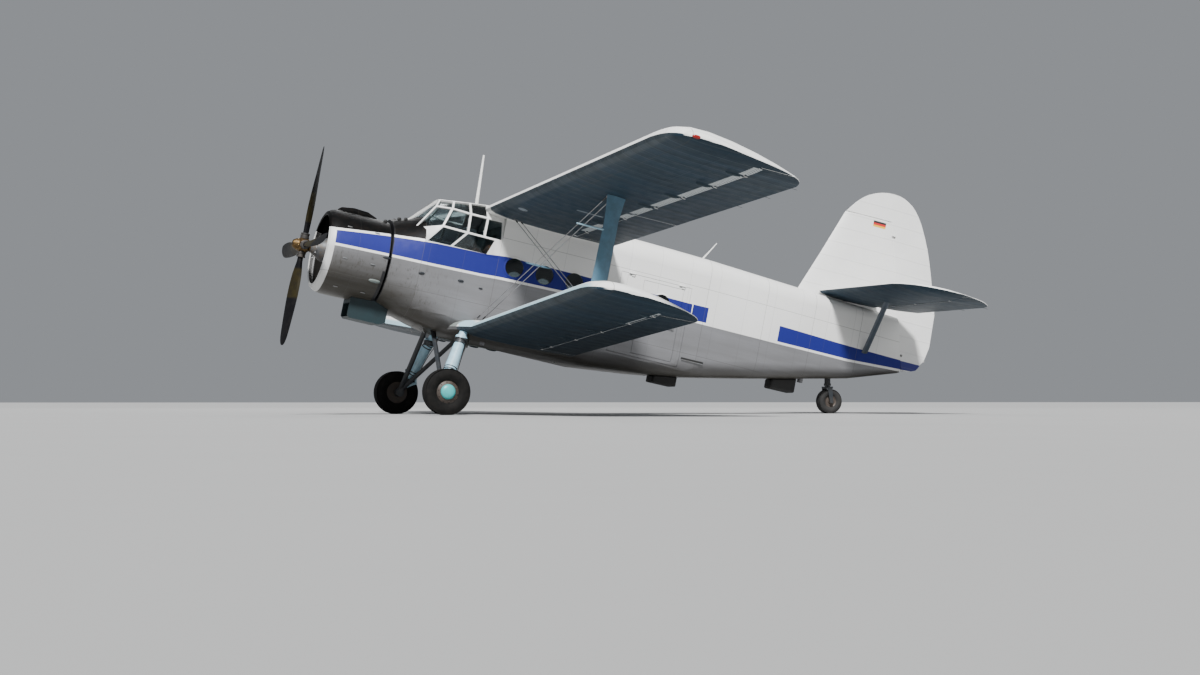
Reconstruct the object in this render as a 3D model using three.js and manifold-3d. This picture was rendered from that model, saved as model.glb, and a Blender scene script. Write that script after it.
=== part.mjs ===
// A large single-engined radial biplane on a tail-wheel undercarriage, parked on its wheels.
// Everything is drawn level, then pitched nose-up to the angle at which it stands.
// Stations run aft from the propeller plane, y is port, z is up from the thrust line. Millimetres.
import * as THREE from 'three';
import { mergeVertices } from 'three/addons/utils/BufferGeometryUtils.js';
import { ConvexGeometry } from 'three/addons/geometries/ConvexGeometry.js';
import Module from 'manifold-3d';

const wasm = await Module();
wasm.setup();

// Overall dimensions
const groundAngle = THREE.MathUtils.degToRad(11.83);
const seam = 0.3;

const cowl = { front: 280, rear: 1380, radius: 762, wall: 15, supports: 9, segments: 48 };
const engineSize = { bank: 687, barrel: 84, cylinders: 9, station: 800 };
const prop = { radius: 1800, blades: 4, hub: 130 };

const cabin = { start: 1950, screenEnd: 3300, end: 7420, floor: -720, ceiling: 1080, sill: 480, skin: 60 };
const cargoDoor = { front: 5640, rear: 7080, low: -680, high: 800, gap: 6 };
const crewDoor = { front: 6110, rear: 6930, low: -620, high: 740, gap: 6 };
const windowRow = { radius: 180, height: 380, port: [3620, 4200, 4780, 5360], starboard: [3620, 4200, 4780, 5360, 5940] };
const doorWindow = 6520;

const upper = { root: 980, base: 1270, tilt: 2.8, incidence: 3, hinge: 4600, nose: 104, cove: 120, lip: 60 };
const lower = { root: 980, base: -965, tilt: 4.5, incidence: 1, hinge: 4390, nose: 82, cove: 98, lip: 50 };
const flapUpper = { inner: 1060, outer: 3842 };
const aileron = { inner: 3858, outer: 8744 };
const flapLower = { inner: 1060, outer: 6298 };
const bracket = { width: 24, clearance: 11, radius: 30 };
const pin = { radius: 12, bore: 12.75, reach: 36 };
const strutSpan = 4760;

const wheel = { s: 2620, y: 1680, z: -2090, radius: 400, width: 260, rim: 200, axle: 33, segments: 36 };
const tailWheel = { s: 10670, z: -572.5, radius: 235, width: 210, axle: 15, trail: 30, segments: 28 };
const rudderAxis = { s: 11400, z: 2770, rake: 480 / 1780, nose: 80, cove: 95, lip: 45 };
const tailplane = { z: 1470, hinge: 11250, nose: 58, cove: 72, lip: 40, root: 95 };

// Fuselage sections
const hull = [
  { s: 1420, top: 810, low: -750, half: 745, crown: 735, chine: 735 },
  { s: 1750, top: 890, low: -840, half: 800, crown: 700, chine: 640 },
  { s: 2200, top: 1120, low: -930, half: 850, crown: 560, chine: 500 },
  { s: 2600, top: 1300, low: -1000, half: 880, crown: 420, chine: 420 },
  { s: 3300, top: 1470, low: -1000, half: 900, crown: 340, chine: 360 },
  { s: 5400, top: 1490, low: -1020, half: 880, crown: 340, chine: 350 },
  { s: 6600, top: 1470, low: -900, half: 860, crown: 340, chine: 340 },
  { s: 7420, top: 1455, low: -790, half: 815, crown: 340, chine: 330 },
  { s: 8700, top: 1420, low: -540, half: 660, crown: 330, chine: 310 },
  { s: 9800, top: 1390, low: -310, half: 500, crown: 300, chine: 270 },
  { s: 10900, top: 1360, low: -70, half: 320, crown: 220, chine: 190 },
  { s: 12100, top: 1330, low: 300, half: 125, crown: 110, chine: 110 },
];

// Wing plan: leading and trailing edge at each station along the span
const upperPlan = [
  { y: 980, le: 2950, te: 5350 },
  { y: 8300, le: 2950, te: 5350 },
  { y: 8550, le: 2975, te: 5270 },
  { y: 8750, le: 3020, te: 5080 },
  { y: 8900, le: 3100, te: 4700 },
  { y: 9000, le: 3200, te: 4200 },
  { y: 9065, le: 3380, te: 3900 },
  { y: 9085, le: 3540, te: 3740 },
];
const lowerPlan = [
  { y: 980, le: 2800, te: 5010 },
  { y: 1250, le: 2950, te: 4990 },
  { y: 6150, le: 2950, te: 5000 },
  { y: 6400, le: 2956, te: 4990 },
  { y: 6600, le: 2970, te: 4890 },
  { y: 6800, le: 3010, te: 4700 },
  { y: 6980, le: 3130, te: 4400 },
  { y: 7090, le: 3340, te: 4020 },
  { y: 7120, le: 3500, te: 3820 },
];
const tailPlan = [
  { y: 95, le: 9985, te: 12000 },
  { y: 2870, le: 10050, te: 12000 },
  { y: 3100, le: 10130, te: 11930 },
  { y: 3310, le: 10260, te: 11740 },
  { y: 3450, le: 10450, te: 11540 },
  { y: 3550, le: 10700, te: 11300 },
  { y: 3600, le: 10930, te: 11080 },
];
// Section outlines in parts of the chord
const camberSection = [
  [1, 0.0035], [0.85, 0.04], [0.69, 0.069], [0.5, 0.092], [0.3, 0.103], [0.15, 0.093], [0.06, 0.068],
  [0.015, 0.036], [0, 0.006], [0.012, -0.015], [0.05, -0.027], [0.15, -0.035], [0.3, -0.037],
  [0.5, -0.032], [0.69, -0.022], [0.85, -0.012], [1, -0.0035],
];
const plainSection = [
  [1, 0.005], [0.62, 0.031], [0.3, 0.04], [0.12, 0.032], [0.03, 0.018], [0, 0], [0.03, -0.018],
  [0.12, -0.032], [0.3, -0.04], [0.62, -0.031], [1, -0.005],
];

// Cockpit glazing corners on the port side
const corner = {
  foot: [1750, 0, 905],
  quarter: [1760, 550, 690],
  lowFront: [1950, 800, 482],
  lowMid: [2400, 868, 482],
  lowAft: [3080, 898, 482],
  sillFront: [2190, 860, 810],
  sillMid: [2650, 900, 795],
  sillRear: [2960, 905, 790],
  sillAft: [3190, 905, 790],
  sillEnd: [3300, 905, 790],
  screenTop: [2060, 600, 1170],
  headFront: [2340, 705, 1180],
  headMid: [2670, 780, 1155],
  headRear: [2990, 795, 1155],
  headEnd: [3280, 800, 1160],
  browFront: [2190, 260, 1350],
  browCentre: [2230, 0, 1385],
  roofFront: [2400, 480, 1345],
  roofMid: [2680, 530, 1380],
  roofRear: [2990, 560, 1410],
  roofEnd: [3300, 570, 1435],
  ridge: [3130, 0, 1488],
  ridgeEnd: [3300, 0, 1492],
  lowEnd: [3300, 903, 482],
};
const panes = [
  ['foot', 'quarter', 'screenTop', 'browFront', 'browCentre'],
  ['quarter', 'sillFront', 'headFront', 'screenTop'],
  ['sillFront', 'sillMid', 'headMid', 'headFront'],
  ['sillMid', 'sillRear', 'headRear', 'headMid'],
  ['sillRear', 'sillEnd', 'headEnd', 'headRear'],
  ['lowFront', 'lowMid', 'sillMid', 'sillFront'],
  ['lowMid', 'lowAft', 'sillAft', 'sillMid'],
  ['screenTop', 'headFront', 'roofFront', 'browFront'],
  ['headFront', 'headMid', 'roofMid', 'roofFront'],
  ['headMid', 'headRear', 'roofRear', 'roofMid'],
];
const paneEdge = 18;

// Basic shapes
const at = (s, y, z) => new THREE.Vector3(-s, y, z);

function clean(geometry) {
  const bare = new THREE.BufferGeometry();
  bare.setAttribute('position', geometry.attributes.position.clone());
  if (geometry.index) bare.setIndex(geometry.index.clone());
  const merged = mergeVertices(bare, 1e-3);
  const source = merged.index.array;
  const kept = [];
  for (let i = 0; i < source.length; i += 3) {
    const [a, b, c] = [source[i], source[i + 1], source[i + 2]];
    if (a !== b && b !== c && c !== a) kept.push(a, b, c);
  }
  merged.setIndex(kept);
  return merged;
}

function toManifold(geometry) {
  const g = clean(geometry);
  return new wasm.Manifold(new wasm.Mesh({
    numProp: 3,
    vertProperties: new Float32Array(g.attributes.position.array),
    triVerts: new Uint32Array(g.index.array),
  }));
}

function toGeometry(manifold) {
  const result = manifold.getMesh();
  const g = new THREE.BufferGeometry();
  g.setAttribute('position', new THREE.Float32BufferAttribute(result.vertProperties, 3));
  g.setIndex(Array.from(result.triVerts));
  return g;
}

const join = (...list) => toGeometry(list.map(toManifold).reduce((a, b) => a.add(b)));
const cut = (first, ...rest) => toGeometry(rest.map(toManifold).reduce((a, b) => a.subtract(b), toManifold(first)));
const common = (first, ...rest) => toGeometry(rest.map(toManifold).reduce((a, b) => a.intersect(b), toManifold(first)));
const moved = (geometry, s, y, z) => geometry.clone().translate(-s, y, z);

function volume(positions, index) {
  let total = 0;
  const a = new THREE.Vector3();
  const b = new THREE.Vector3();
  const c = new THREE.Vector3();
  for (let i = 0; i < index.length; i += 3) {
    a.fromArray(positions, index[i] * 3);
    b.fromArray(positions, index[i + 1] * 3);
    c.fromArray(positions, index[i + 2] * 3);
    total += a.dot(b.clone().cross(c));
  }
  return total;
}

function capOf(ring) {
  const normal = new THREE.Vector3();
  ring.forEach((p, i) => normal.add(p.clone().cross(ring[(i + 1) % ring.length])));
  const side = new THREE.Vector3().subVectors(ring[1], ring[0]).normalize();
  const up = normal.clone().normalize().cross(side).normalize();
  const flat = ring.map((p) => new THREE.Vector2(p.dot(side), p.dot(up)));
  const sign = Math.sign(THREE.ShapeUtils.area(flat));
  return THREE.ShapeUtils.triangulateShape(flat, []).map(([a, b, c]) => {
    const area = THREE.ShapeUtils.area([flat[a], flat[b], flat[c]]);
    return Math.sign(area) === sign ? [a, b, c] : [a, c, b];
  });
}

// Closed solid through rings that have the same number of corners
function loft(rings) {
  const n = rings[0].length;
  const positions = rings.flat().flatMap((p) => [p.x, p.y, p.z]);
  const index = [];
  for (let r = 0; r < rings.length - 1; r += 1) {
    for (let i = 0; i < n; i += 1) {
      const j = (i + 1) % n;
      const [a, b, c, d] = [r * n + i, r * n + j, (r + 1) * n + j, (r + 1) * n + i];
      index.push(a, b, c, a, c, d);
    }
  }
  const last = (rings.length - 1) * n;
  capOf(rings[0]).forEach(([a, b, c]) => index.push(a, c, b));
  capOf(rings[rings.length - 1]).forEach(([a, b, c]) => index.push(last + a, last + b, last + c));
  if (volume(positions, index) < 0) {
    for (let i = 0; i < index.length; i += 3) [index[i], index[i + 1]] = [index[i + 1], index[i]];
  }
  const g = new THREE.BufferGeometry();
  g.setAttribute('position', new THREE.Float32BufferAttribute(positions, 3));
  g.setIndex(index);
  return g;
}

const box = (s0, s1, y0, y1, z0, z1) => new THREE.BoxGeometry(s1 - s0, y1 - y0, z1 - z0)
  .translate(-(s0 + s1) / 2, (y0 + y1) / 2, (z0 + z1) / 2);
const sidePrism = (outline, y0, y1) => loft([y0, y1].map((y) => outline.map(([s, z]) => at(s, y, z))));
const planPrism = (outline, z0, z1) => loft([z0, z1].map((z) => outline.map(([s, y]) => at(s, y, z))));

function rod(a, b, r0, r1 = r0, segments = 12) {
  const along = new THREE.Vector3().subVectors(b, a);
  const turn = new THREE.Quaternion().setFromUnitVectors(new THREE.Vector3(0, 1, 0), along.clone().normalize());
  const middle = a.clone().add(b).multiplyScalar(0.5);
  return new THREE.CylinderGeometry(r1, r0, along.length(), segments).applyQuaternion(turn)
    .translate(middle.x, middle.y, middle.z);
}

const pinRod = (a, b) => rod(a, b, pin.radius, pin.radius, 12);
const pinBore = (a, b) => rod(a, b, pin.bore, pin.bore, 12);

// Flattened strut: the section is a lozenge with blunt sides, wide fore and aft
function blade(a, b, chord, thick) {
  const along = new THREE.Vector3().subVectors(b, a).normalize();
  const aft = new THREE.Vector3(-1, 0, 0);
  aft.addScaledVector(along, -aft.dot(along)).normalize();
  const side = along.clone().cross(aft);
  const section = [[-0.5, 0], [-0.25, 0.45], [0.1, 0.5], [0.5, 0.08], [0.5, -0.08], [0.1, -0.5], [-0.25, -0.45]];
  return loft([a, b].map((p) => section.map(([u, v]) => p.clone()
    .addScaledVector(aft, u * chord).addScaledVector(side, v * thick))));
}

function turned(profile, segments, axis) {
  const points = profile.map(([r, h]) => new THREE.Vector2(r, h));
  const g = new THREE.LatheGeometry(points, segments);
  if (axis === 's') g.rotateZ(Math.PI / 2);
  const c = clean(g);
  const index = Array.from(c.index.array);
  if (volume(c.attributes.position.array, index) < 0) {
    for (let i = 0; i < index.length; i += 3) [index[i], index[i + 1]] = [index[i + 1], index[i]];
    c.setIndex(index);
  }
  return c;
}

function mirror(geometry) {
  const g = geometry.clone().scale(1, -1, 1);
  const index = Array.from(g.index.array);
  for (let i = 0; i < index.length; i += 3) [index[i], index[i + 1]] = [index[i + 1], index[i]];
  g.setIndex(index);
  return g;
}

// A solid drawn upright as it stands, brought into the level drawing at a given point
const parked = (geometry, s, y, z) => geometry.clone().rotateY(groundAngle).translate(-s, y, z);

// Fuselage shapes
const arcSteps = 4;
function hullRing(row, inset) {
  const half = row.half - inset;
  const top = row.top - inset;
  const low = row.low + inset;
  const corners = [
    { y: 1, z: 1, r: row.crown - inset, from: 0 },
    { y: -1, z: 1, r: row.crown - inset, from: 90 },
    { y: -1, z: -1, r: row.chine - inset, from: 180 },
    { y: 1, z: -1, r: row.chine - inset, from: 270 },
  ];
  return corners.flatMap((c) => Array.from({ length: arcSteps + 1 }, (unused, k) => {
    const angle = THREE.MathUtils.degToRad(c.from + (90 * k) / arcSteps);
    const centreY = c.y * (half - c.r);
    const centreZ = c.z > 0 ? top - c.r : low + c.r;
    return at(row.s, centreY + c.r * Math.cos(angle), centreZ + c.r * Math.sin(angle));
  }));
}
const skin = loft(hull.map((row) => hullRing(row, 0)));
const inner = loft(hull.slice(1, 9).map((row) => hullRing(row, cabin.skin)));
const wide = 2500;
const slab = (s0, s1, z0, z1) => box(s0, s1, -wide, wide, z0, z1);

// Wings
const slope = (degrees) => Math.tan(THREE.MathUtils.degToRad(degrees));
function wingRing(row, wing, section) {
  const chord = row.te - row.le;
  return section.map(([c, h]) => {
    const s = row.le + c * chord;
    return at(s, row.y, wing.base + row.y * slope(wing.tilt) - (s - 2950) * slope(wing.incidence) + h * chord);
  });
}
// Rows of a table, with more rows between them on a smooth curve
function finer(rows, steps) {
  const keys = Object.keys(rows[0]);
  const tracks = keys.map((key) => new THREE.CatmullRomCurve3(
    rows.map((row) => new THREE.Vector3(row[key], 0, 0)), false, 'catmullrom'));
  const count = (rows.length - 1) * steps;
  return Array.from({ length: count + 1 }, (unused, k) => Object.fromEntries(
    keys.map((key, i) => [key, tracks[i].getPoint(k / count).x])));
}
// Plan whose tip, from the given row on, has twice the rows
const roundTip = (plan, first) => [...plan.slice(0, first), ...finer(plan.slice(first), 2)];
const wingSolid = (plan, wing) => loft(plan.map((row) => wingRing(row, wing, camberSection)));
function hingePoint(wing, y, middle) {
  return at(wing.hinge, y, wing.base + y * slope(wing.tilt) - (wing.hinge - 2950) * slope(wing.incidence) + middle);
}
const hingeMid = { upper: 56, lower: 44 };

function shearedBox(wing, s0, s1, y0, y1, z0, z1) {
  const rise = (y) => y * slope(wing.tilt);
  return loft([y0, y1].map((y) => [[s0, z0], [s1, z0], [s1, z1], [s0, z1]]
    .map(([s, z]) => at(s, y, wing.base + rise(y) + z))));
}

// Splits a wing panel into its fixed front and the surfaces hung behind it
function wingPieces(plan, wing, middle, surfaces, brackets, pinned) {
  const whole = wingSolid(plan, wing);
  const first = surfaces[0].inner - 10;
  const last = surfaces[surfaces.length - 1].outer + 16;
  const line = (y0, y1, r) => common(
    rod(hingePoint(wing, y0 - 60, middle), hingePoint(wing, y1 + 60, middle), r, r, 12),
    box(2000, 6000, y0, y1, -3000, 3000),
  );
  const facet = Math.cos(Math.PI / 12);
  const plates = brackets.map((y) => {
    const p = hingePoint(wing, y, middle);
    const half = bracket.width / 2;
    const reach = box(-p.x - 230, -p.x, y - half, y + half, p.z - bracket.radius, p.z + bracket.radius);
    const plate = join(reach, rod(at(-p.x, y - half, p.z), at(-p.x, y + half, p.z), bracket.radius, bracket.radius, 8));
    const along = [hingePoint(wing, y - 50, middle), hingePoint(wing, y + 50, middle)];
    return pinned.includes(y) ? cut(plate, pinBore(...along)) : plate;
  });
  const fixed = join(
    cut(whole, shearedBox(wing, wing.hinge - wing.lip, 6000, first, last, -800, 800), line(first, last, wing.cove / facet)),
    ...plates,
  );
  const pieces = surfaces.map(({ inner: y0, outer: y1 }) => {
    const aft = shearedBox(wing, wing.hinge, 6000, y0, y1, -800, 800);
    const blank = common(whole, join(aft, line(y0, y1, wing.nose)));
    const notches = brackets.filter((y) => y > y0 - 40 && y < y1 + 40).map((y) => {
      const p = hingePoint(wing, y, middle);
      const half = bracket.width / 2 + bracket.clearance;
      return box(-p.x - 200, -p.x + bracket.radius + 8, y - half, y + half, p.z - 300, p.z + 300);
    });
    const pins = pinned.filter((y) => y > y0 && y < y1)
      .map((y) => pinRod(hingePoint(wing, y - pin.reach, middle), hingePoint(wing, y + pin.reach, middle)));
    return join(cut(blank, ...notches), ...pins);
  });
  return [fixed, ...pieces];
}
const upperRound = roundTip(upperPlan, 1);
const lowerRound = roundTip(lowerPlan, 2);
const [upperPanel, upperFlap, upperAileron] = wingPieces(
  upperRound, upper, hingeMid.upper, [flapUpper, aileron], [1560, 2640, 3360, 4710, 5830, 7020, 8100], [2640, 5830],
);
const [lowerPanel, lowerFlap] = wingPieces(
  lowerRound, lower, hingeMid.lower, [flapLower], [1500, 2700, 3900, 5100, 6080], [3900],
);
const upperWhole = wingSolid(upperRound, upper);
const lowerWhole = wingSolid(lowerRound, lower);
const upperStub = wingSolid([{ y: 400, le: 2950, te: 5350 }, { y: upper.root - seam, le: 2950, te: 5350 }], upper);
const lowerStub = wingSolid([{ y: 500, le: 2570, te: 5040 }, { y: lower.root - seam, le: 2800, te: 5010 }], lower);

// Cockpit glazing: a faceted hood, hollow, with a hole for each pane
function hood(inset) {
  const centre = { s: 2800, z: 300 };
  const shrink = { s: 1 - inset / 1000, y: 1 - inset / 900, z: 1 - inset / 1150 };
  const points = [];
  Object.values(corner).forEach(([s, y, z]) => {
    const u = centre.s + (s - centre.s) * shrink.s;
    const v = y * shrink.y;
    const w = centre.z + (z - centre.z) * shrink.z;
    const add = (a, b, c) => points.push(at(a, b, c), at(a, -b, c));
    add(u, v, w);
    if (z < 500) add(u, v * 0.985, 300);
    if (s > 3270) add(3500, v, w);
    if (s > 3270 && z < 500) add(3500, v * 0.985, 300);
  });
  return new ConvexGeometry(points);
}

function insetPane(names, side, edge) {
  const ring = names.map((n) => at(corner[n][0], corner[n][1] * side, corner[n][2]));
  const middle = ring.reduce((a, p) => a.add(p), new THREE.Vector3()).divideScalar(ring.length);
  const normal = new THREE.Vector3();
  ring.forEach((p, i) => normal.add(p.clone().sub(middle).cross(ring[(i + 1) % ring.length].clone().sub(middle))));
  normal.normalize();
  const u = ring[1].clone().sub(ring[0]).normalize();
  const v = normal.clone().cross(u).normalize();
  const flat = ring.map((p) => [p.clone().sub(middle).dot(u), p.clone().sub(middle).dot(v)]);
  const lines = flat.map((p, i) => {
    const q = flat[(i + 1) % flat.length];
    const length = Math.hypot(q[0] - p[0], q[1] - p[1]);
    const inward = [-(q[1] - p[1]) / length, (q[0] - p[0]) / length];
    return { n: inward, d: inward[0] * p[0] + inward[1] * p[1] + edge };
  });
  const inside = lines.map((b, i) => {
    const a = lines[(i + lines.length - 1) % lines.length];
    const det = a.n[0] * b.n[1] - a.n[1] * b.n[0];
    return [(a.d * b.n[1] - b.d * a.n[1]) / det, (a.n[0] * b.d - b.n[0] * a.d) / det];
  });
  return loft([-110, 110].map((depth) => inside.map(([a, b]) => middle.clone()
    .addScaledVector(u, a).addScaledVector(v, b).addScaledVector(normal, depth))));
}

const noseSection = common(skin, slab(1400, cabin.start, -wide, wide));
const hoodClip = slab(1600, cabin.screenEnd - seam, cabin.sill + seam, wide);
const hoodOuter = hood(0);
const noseAbove = moved(noseSection.clone().scale(1, 1.0007, 1), seam, 0, seam);
const noseFront = box(1400, 1760, -wide, wide, -wide, 680);
const frames = cut(
  common(hoodOuter, hoodClip), hood(32), noseAbove, noseFront,
  ...panes.flatMap((names) => [insetPane(names, 1, paneEdge), insetPane(names, -1, paneEdge)]),
);
const glass = cut(common(hood(33), hoodClip), hood(41), noseAbove, noseFront);

// Hollow cabin: two side walls, roof and belly
const portals = {
  door: box(cargoDoor.front, cargoDoor.rear, 500, 1200, cargoDoor.low, cargoDoor.high),
  panel: box(cargoDoor.front + 6, cargoDoor.rear - 6, 500, 1200, cargoDoor.low + 6, cargoDoor.high - 6),
  crew: box(crewDoor.front, crewDoor.rear, 500, 1200, crewDoor.low, crewDoor.high),
  crewPanel: box(crewDoor.front + 6, crewDoor.rear - 6, 500, 1200, crewDoor.low + 6, crewDoor.high - 6),
};
const porthole = (s, side) => rod(at(s, side * 600, windowRow.height), at(s, side * 1100, windowRow.height),
  windowRow.radius, windowRow.radius, 14);
const wallSpace = join(
  slab(cabin.start + seam, cabin.screenEnd + 1, cabin.floor + seam, cabin.sill),
  slab(cabin.screenEnd, cabin.end - seam, cabin.floor + seam, cabin.ceiling - seam),
);
const shell = cut(common(skin, wallSpace), inner);
const wallPort = cut(common(shell, box(1000, 9000, 0, wide, -wide, wide)), portals.door,
  ...windowRow.port.map((s) => porthole(s, 1)));
const wallStarboard = cut(common(shell, box(1000, 9000, -wide, 0, -wide, wide)),
  ...windowRow.starboard.map((s) => porthole(s, -1)));
const cargoPanel = cut(common(shell, portals.panel), portals.crew);
const crewPanel = cut(common(shell, portals.crewPanel), porthole(doorWindow, 1));

// Cargo door hinge line along its top edge, crew door hinge line up its front edge
const hingeEdge = { height: 797, front: 5646, rear: 7074, frontY: 897, rearY: 855, knuckle: 13, length: 60, at: [5850, 6870] };
function edgeY(s) {
  const part = (s - hingeEdge.front) / (hingeEdge.rear - hingeEdge.front);
  return hingeEdge.frontY + part * (hingeEdge.rearY - hingeEdge.frontY);
}
function edgeKnuckle(s, side) {
  const s0 = side > 0 ? s + 0.3 : s - 0.3 - hingeEdge.length;
  const s1 = s0 + hingeEdge.length;
  const barrel = rod(at(s0, edgeY(s0), hingeEdge.height), at(s1, edgeY(s1), hingeEdge.height), hingeEdge.knuckle, hingeEdge.knuckle, 8);
  const web = side > 0 ? [hingeEdge.height - 45, hingeEdge.height] : [hingeEdge.height, hingeEdge.height + 45];
  return join(barrel, box(s0, s1, edgeY(s) - 28, edgeY(s) - 4, web[0], web[1]));
}
const wallFitted = join(wallPort, ...hingeEdge.at.map((s) => edgeKnuckle(s, -1)));
const crewHinge = { s: 6116, y: 794, heights: [-350, 480], length: 34 };
function crewKnuckle(z, side) {
  const z0 = side > 0 ? z + 0.3 : z - 0.3 - crewHinge.length;
  const barrel = rod(at(crewHinge.s, crewHinge.y, z0), at(crewHinge.s, crewHinge.y, z0 + crewHinge.length), 11, 11, 8);
  const s0 = side > 0 ? crewHinge.s + 2 : crewHinge.s - 36;
  return join(barrel, box(s0, s0 + 34, crewHinge.y - 9, crewHinge.y + 26, z0, z0 + crewHinge.length));
}
const cargoFitted = join(cargoPanel, ...hingeEdge.at.map((s) => edgeKnuckle(s, 1)), ...crewHinge.heights.map((z) => crewKnuckle(z, -1)));
const crewFitted = join(crewPanel, ...crewHinge.heights.map((z) => crewKnuckle(z, 1)));

const hoodOver = hoodOuter.clone().translate(0, 0, 0).scale(1, 1.0008, 1);
const stubOutside = (stub) => cut(stub, hoodOver);
const roof = join(
  common(skin, slab(cabin.screenEnd + seam, cabin.end - seam, cabin.ceiling, wide)),
  stubOutside(upperStub), mirror(stubOutside(upperStub)),
);
const skinOver = common(skin.clone().scale(1, 1.0005, 1), slab(1000, 9000, cabin.floor, wide));
const lowerStubOutside = cut(lowerStub, skinOver);
const jackPad = (s, y, z) => rod(at(s, y, z), at(s, y, z + 150), 55, 55, 12);
const cockpitFloor = common(common(skin, slab(cabin.start + seam, 3290, cabin.floor - 20, -300)),
  cut(inner.clone().scale(1, 0.9994, 1), slab(1000, 1940, -wide, wide)));
const belly = join(
  common(skin, slab(cabin.start + seam, cabin.end - seam, -wide, cabin.floor)),
  lowerStubOutside, mirror(lowerStubOutside), cockpitFloor,
  jackPad(3420, 520, -1075), jackPad(3420, -520, -1075),
);
const bulkhead = cut(
  common(inner.clone().scale(1, 0.9994, 1), slab(3330, 3362, cabin.floor + seam, cabin.ceiling - seam)),
  box(3300, 3400, -310, 310, -640, 960),
);

// Raked hinge line of the rudder
const hingeStation = (z) => rudderAxis.s + (rudderAxis.z - z) * rudderAxis.rake;
const postPoint = (z, forward = 0) => at(hingeStation(z) - forward, 0, z);
const postRod = (z0, z1, r) => rod(postPoint(z0), postPoint(z1), r, r, 12);
const behindPost = sidePrism([
  [hingeStation(-200) - rudderAxis.lip, -200], [13500, -200], [13500, 4200], [hingeStation(4200) - rudderAxis.lip, 4200],
], -600, 600);
const hingePlate = (z) => sidePrism([
  [hingeStation(z) - 250, z - 12], [hingeStation(z) + 26, z - 12], [hingeStation(z) + 26, z + 12], [hingeStation(z) - 250, z + 12],
], -26, 26);
const hingeNotch = (z) => sidePrism([
  [hingeStation(z) - 200, z - 23], [hingeStation(z) + 46, z - 23], [hingeStation(z) + 46, z + 23], [hingeStation(z) - 200, z + 23],
], -300, 300);
const postPlates = { tail: [620], fin: [1760, 2860] };
const postBore = (z) => pinBore(postPoint(z - 40), postPoint(z + 40));
const postPin = (z) => pinRod(postPoint(z - 30), postPoint(z + 30));

const tailConeBlank = common(skin, slab(cabin.end, 12500, -wide, wide));
const tailCone = join(
  cut(tailConeBlank, behindPost, postRod(-300, 4000, rudderAxis.cove)),
  ...postPlates.tail.map((z) => cut(hingePlate(z), postBore(z))),
  jackPad(9980, 0, -345),
);
const finRows = [
  { z: 1290, le: 9530 },
  { z: 1450, le: 9580 },
  { z: 2220, le: 9910 },
  { z: 3135, le: 10280 },
];
const finRing = (row) => {
  const rear = hingeStation(row.z) + 60;
  const chord = rear - row.le;
  const half = [[0, 0], [0.03, 26], [0.12, 56], [0.3, 80], [0.6, 86], [1, 82]];
  const port = half.map(([c, y]) => at(row.le + c * chord, y, row.z));
  const starboard = half.slice(1).reverse().map(([c, y]) => at(row.le + c * chord, -y, row.z));
  return [...port, ...starboard];
};
const fin = join(
  cut(loft(finRows.map(finRing)), moved(tailConeBlank, 0, 0, seam), behindPost, postRod(-300, 4000, rudderAxis.cove)),
  ...postPlates.fin.map((z) => cut(hingePlate(z), postBore(z))),
);
const roundEdge = (corners) => finer(corners.map(([s, z]) => ({ s, z })), 2).map(({ s, z }) => [s, z]);
const rudderOutline = [
  [hingeStation(345), 345],
  ...roundEdge([[12190, 345], [12380, 400], [12470, 540], [12540, 650], [12610, 920]]),
  ...roundEdge([
    [12605, 1590], [12500, 1910], [12350, 2380], [12190, 2810], [11960, 3250], [11770, 3490], [11580, 3620],
    [11360, 3690], [11100, 3690], [10850, 3630], [10670, 3530], [10490, 3370], [10310, 3150],
  ]),
  [hingeStation(3150), 3150],
];
const rudderWedge = loft([200, 3800].map((z) => [
  [-1150, 8], [-980, 34], [-500, 64], [0, 80], [300, 62], [880, 12], [880, -12], [300, -62], [0, -80], [-500, -64],
  [-980, -34], [-1150, -8],
].map(([d, y]) => at(hingeStation(z) + d, y, z))));
const rudder = join(cut(
  join(common(sidePrism(rudderOutline, -300, 300), rudderWedge), postRod(372, 3160, rudderAxis.nose)),
  ...[...postPlates.tail, ...postPlates.fin].map(hingeNotch),
), ...[...postPlates.tail, ...postPlates.fin].map(postPin));

// Tailplane and elevators
const tailBase = { base: tailplane.z, tilt: 0, incidence: 0, hinge: tailplane.hinge };
const tailWhole = loft(roundTip(tailPlan, 1).map((row) => wingRing(row, tailBase, plainSection)));
const tailHinge = (y) => at(tailplane.hinge, y, tailplane.z);
const tailLine = (y0, y1, r) => rod(tailHinge(y0), tailHinge(y1), r, r, 12);
const elevatorSpan = { inner: 250, outer: 3500 };
const tailBrackets = [520, 1650, 2900];
const tailPlates = tailBrackets.map((y) => cut(box(tailplane.hinge - 160, tailplane.hinge + 24, y - 11, y + 11,
  tailplane.z - 24, tailplane.z + 24), pinBore(tailHinge(y - 30), tailHinge(y + 30))));
const stabilizer = join(
  cut(
    tailWhole,
    box(tailplane.hinge - tailplane.lip, 12500, 0, elevatorSpan.outer + 8, 1000, 2000),
    tailLine(0, elevatorSpan.outer + 8, tailplane.cove),
  ),
  ...tailPlates,
);
const elevatorGap = planPrism([[11000, 0], [12500, 0], [12500, 700], [12010, 440], [11640, 240], [11000, 240]], 1000, 2000);
const elevator = join(cut(
  common(tailWhole, join(
    box(tailplane.hinge, 12500, elevatorSpan.inner, elevatorSpan.outer, 1000, 2000),
    tailLine(elevatorSpan.inner, elevatorSpan.outer, tailplane.nose),
  )),
  elevatorGap,
  ...tailBrackets.map((y) => box(tailplane.hinge - 120, tailplane.hinge + 41, y - 18, y + 18, 1000, 2000)),
), ...tailBrackets.map((y) => pinRod(tailHinge(y - 20), tailHinge(y + 20))));
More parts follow.
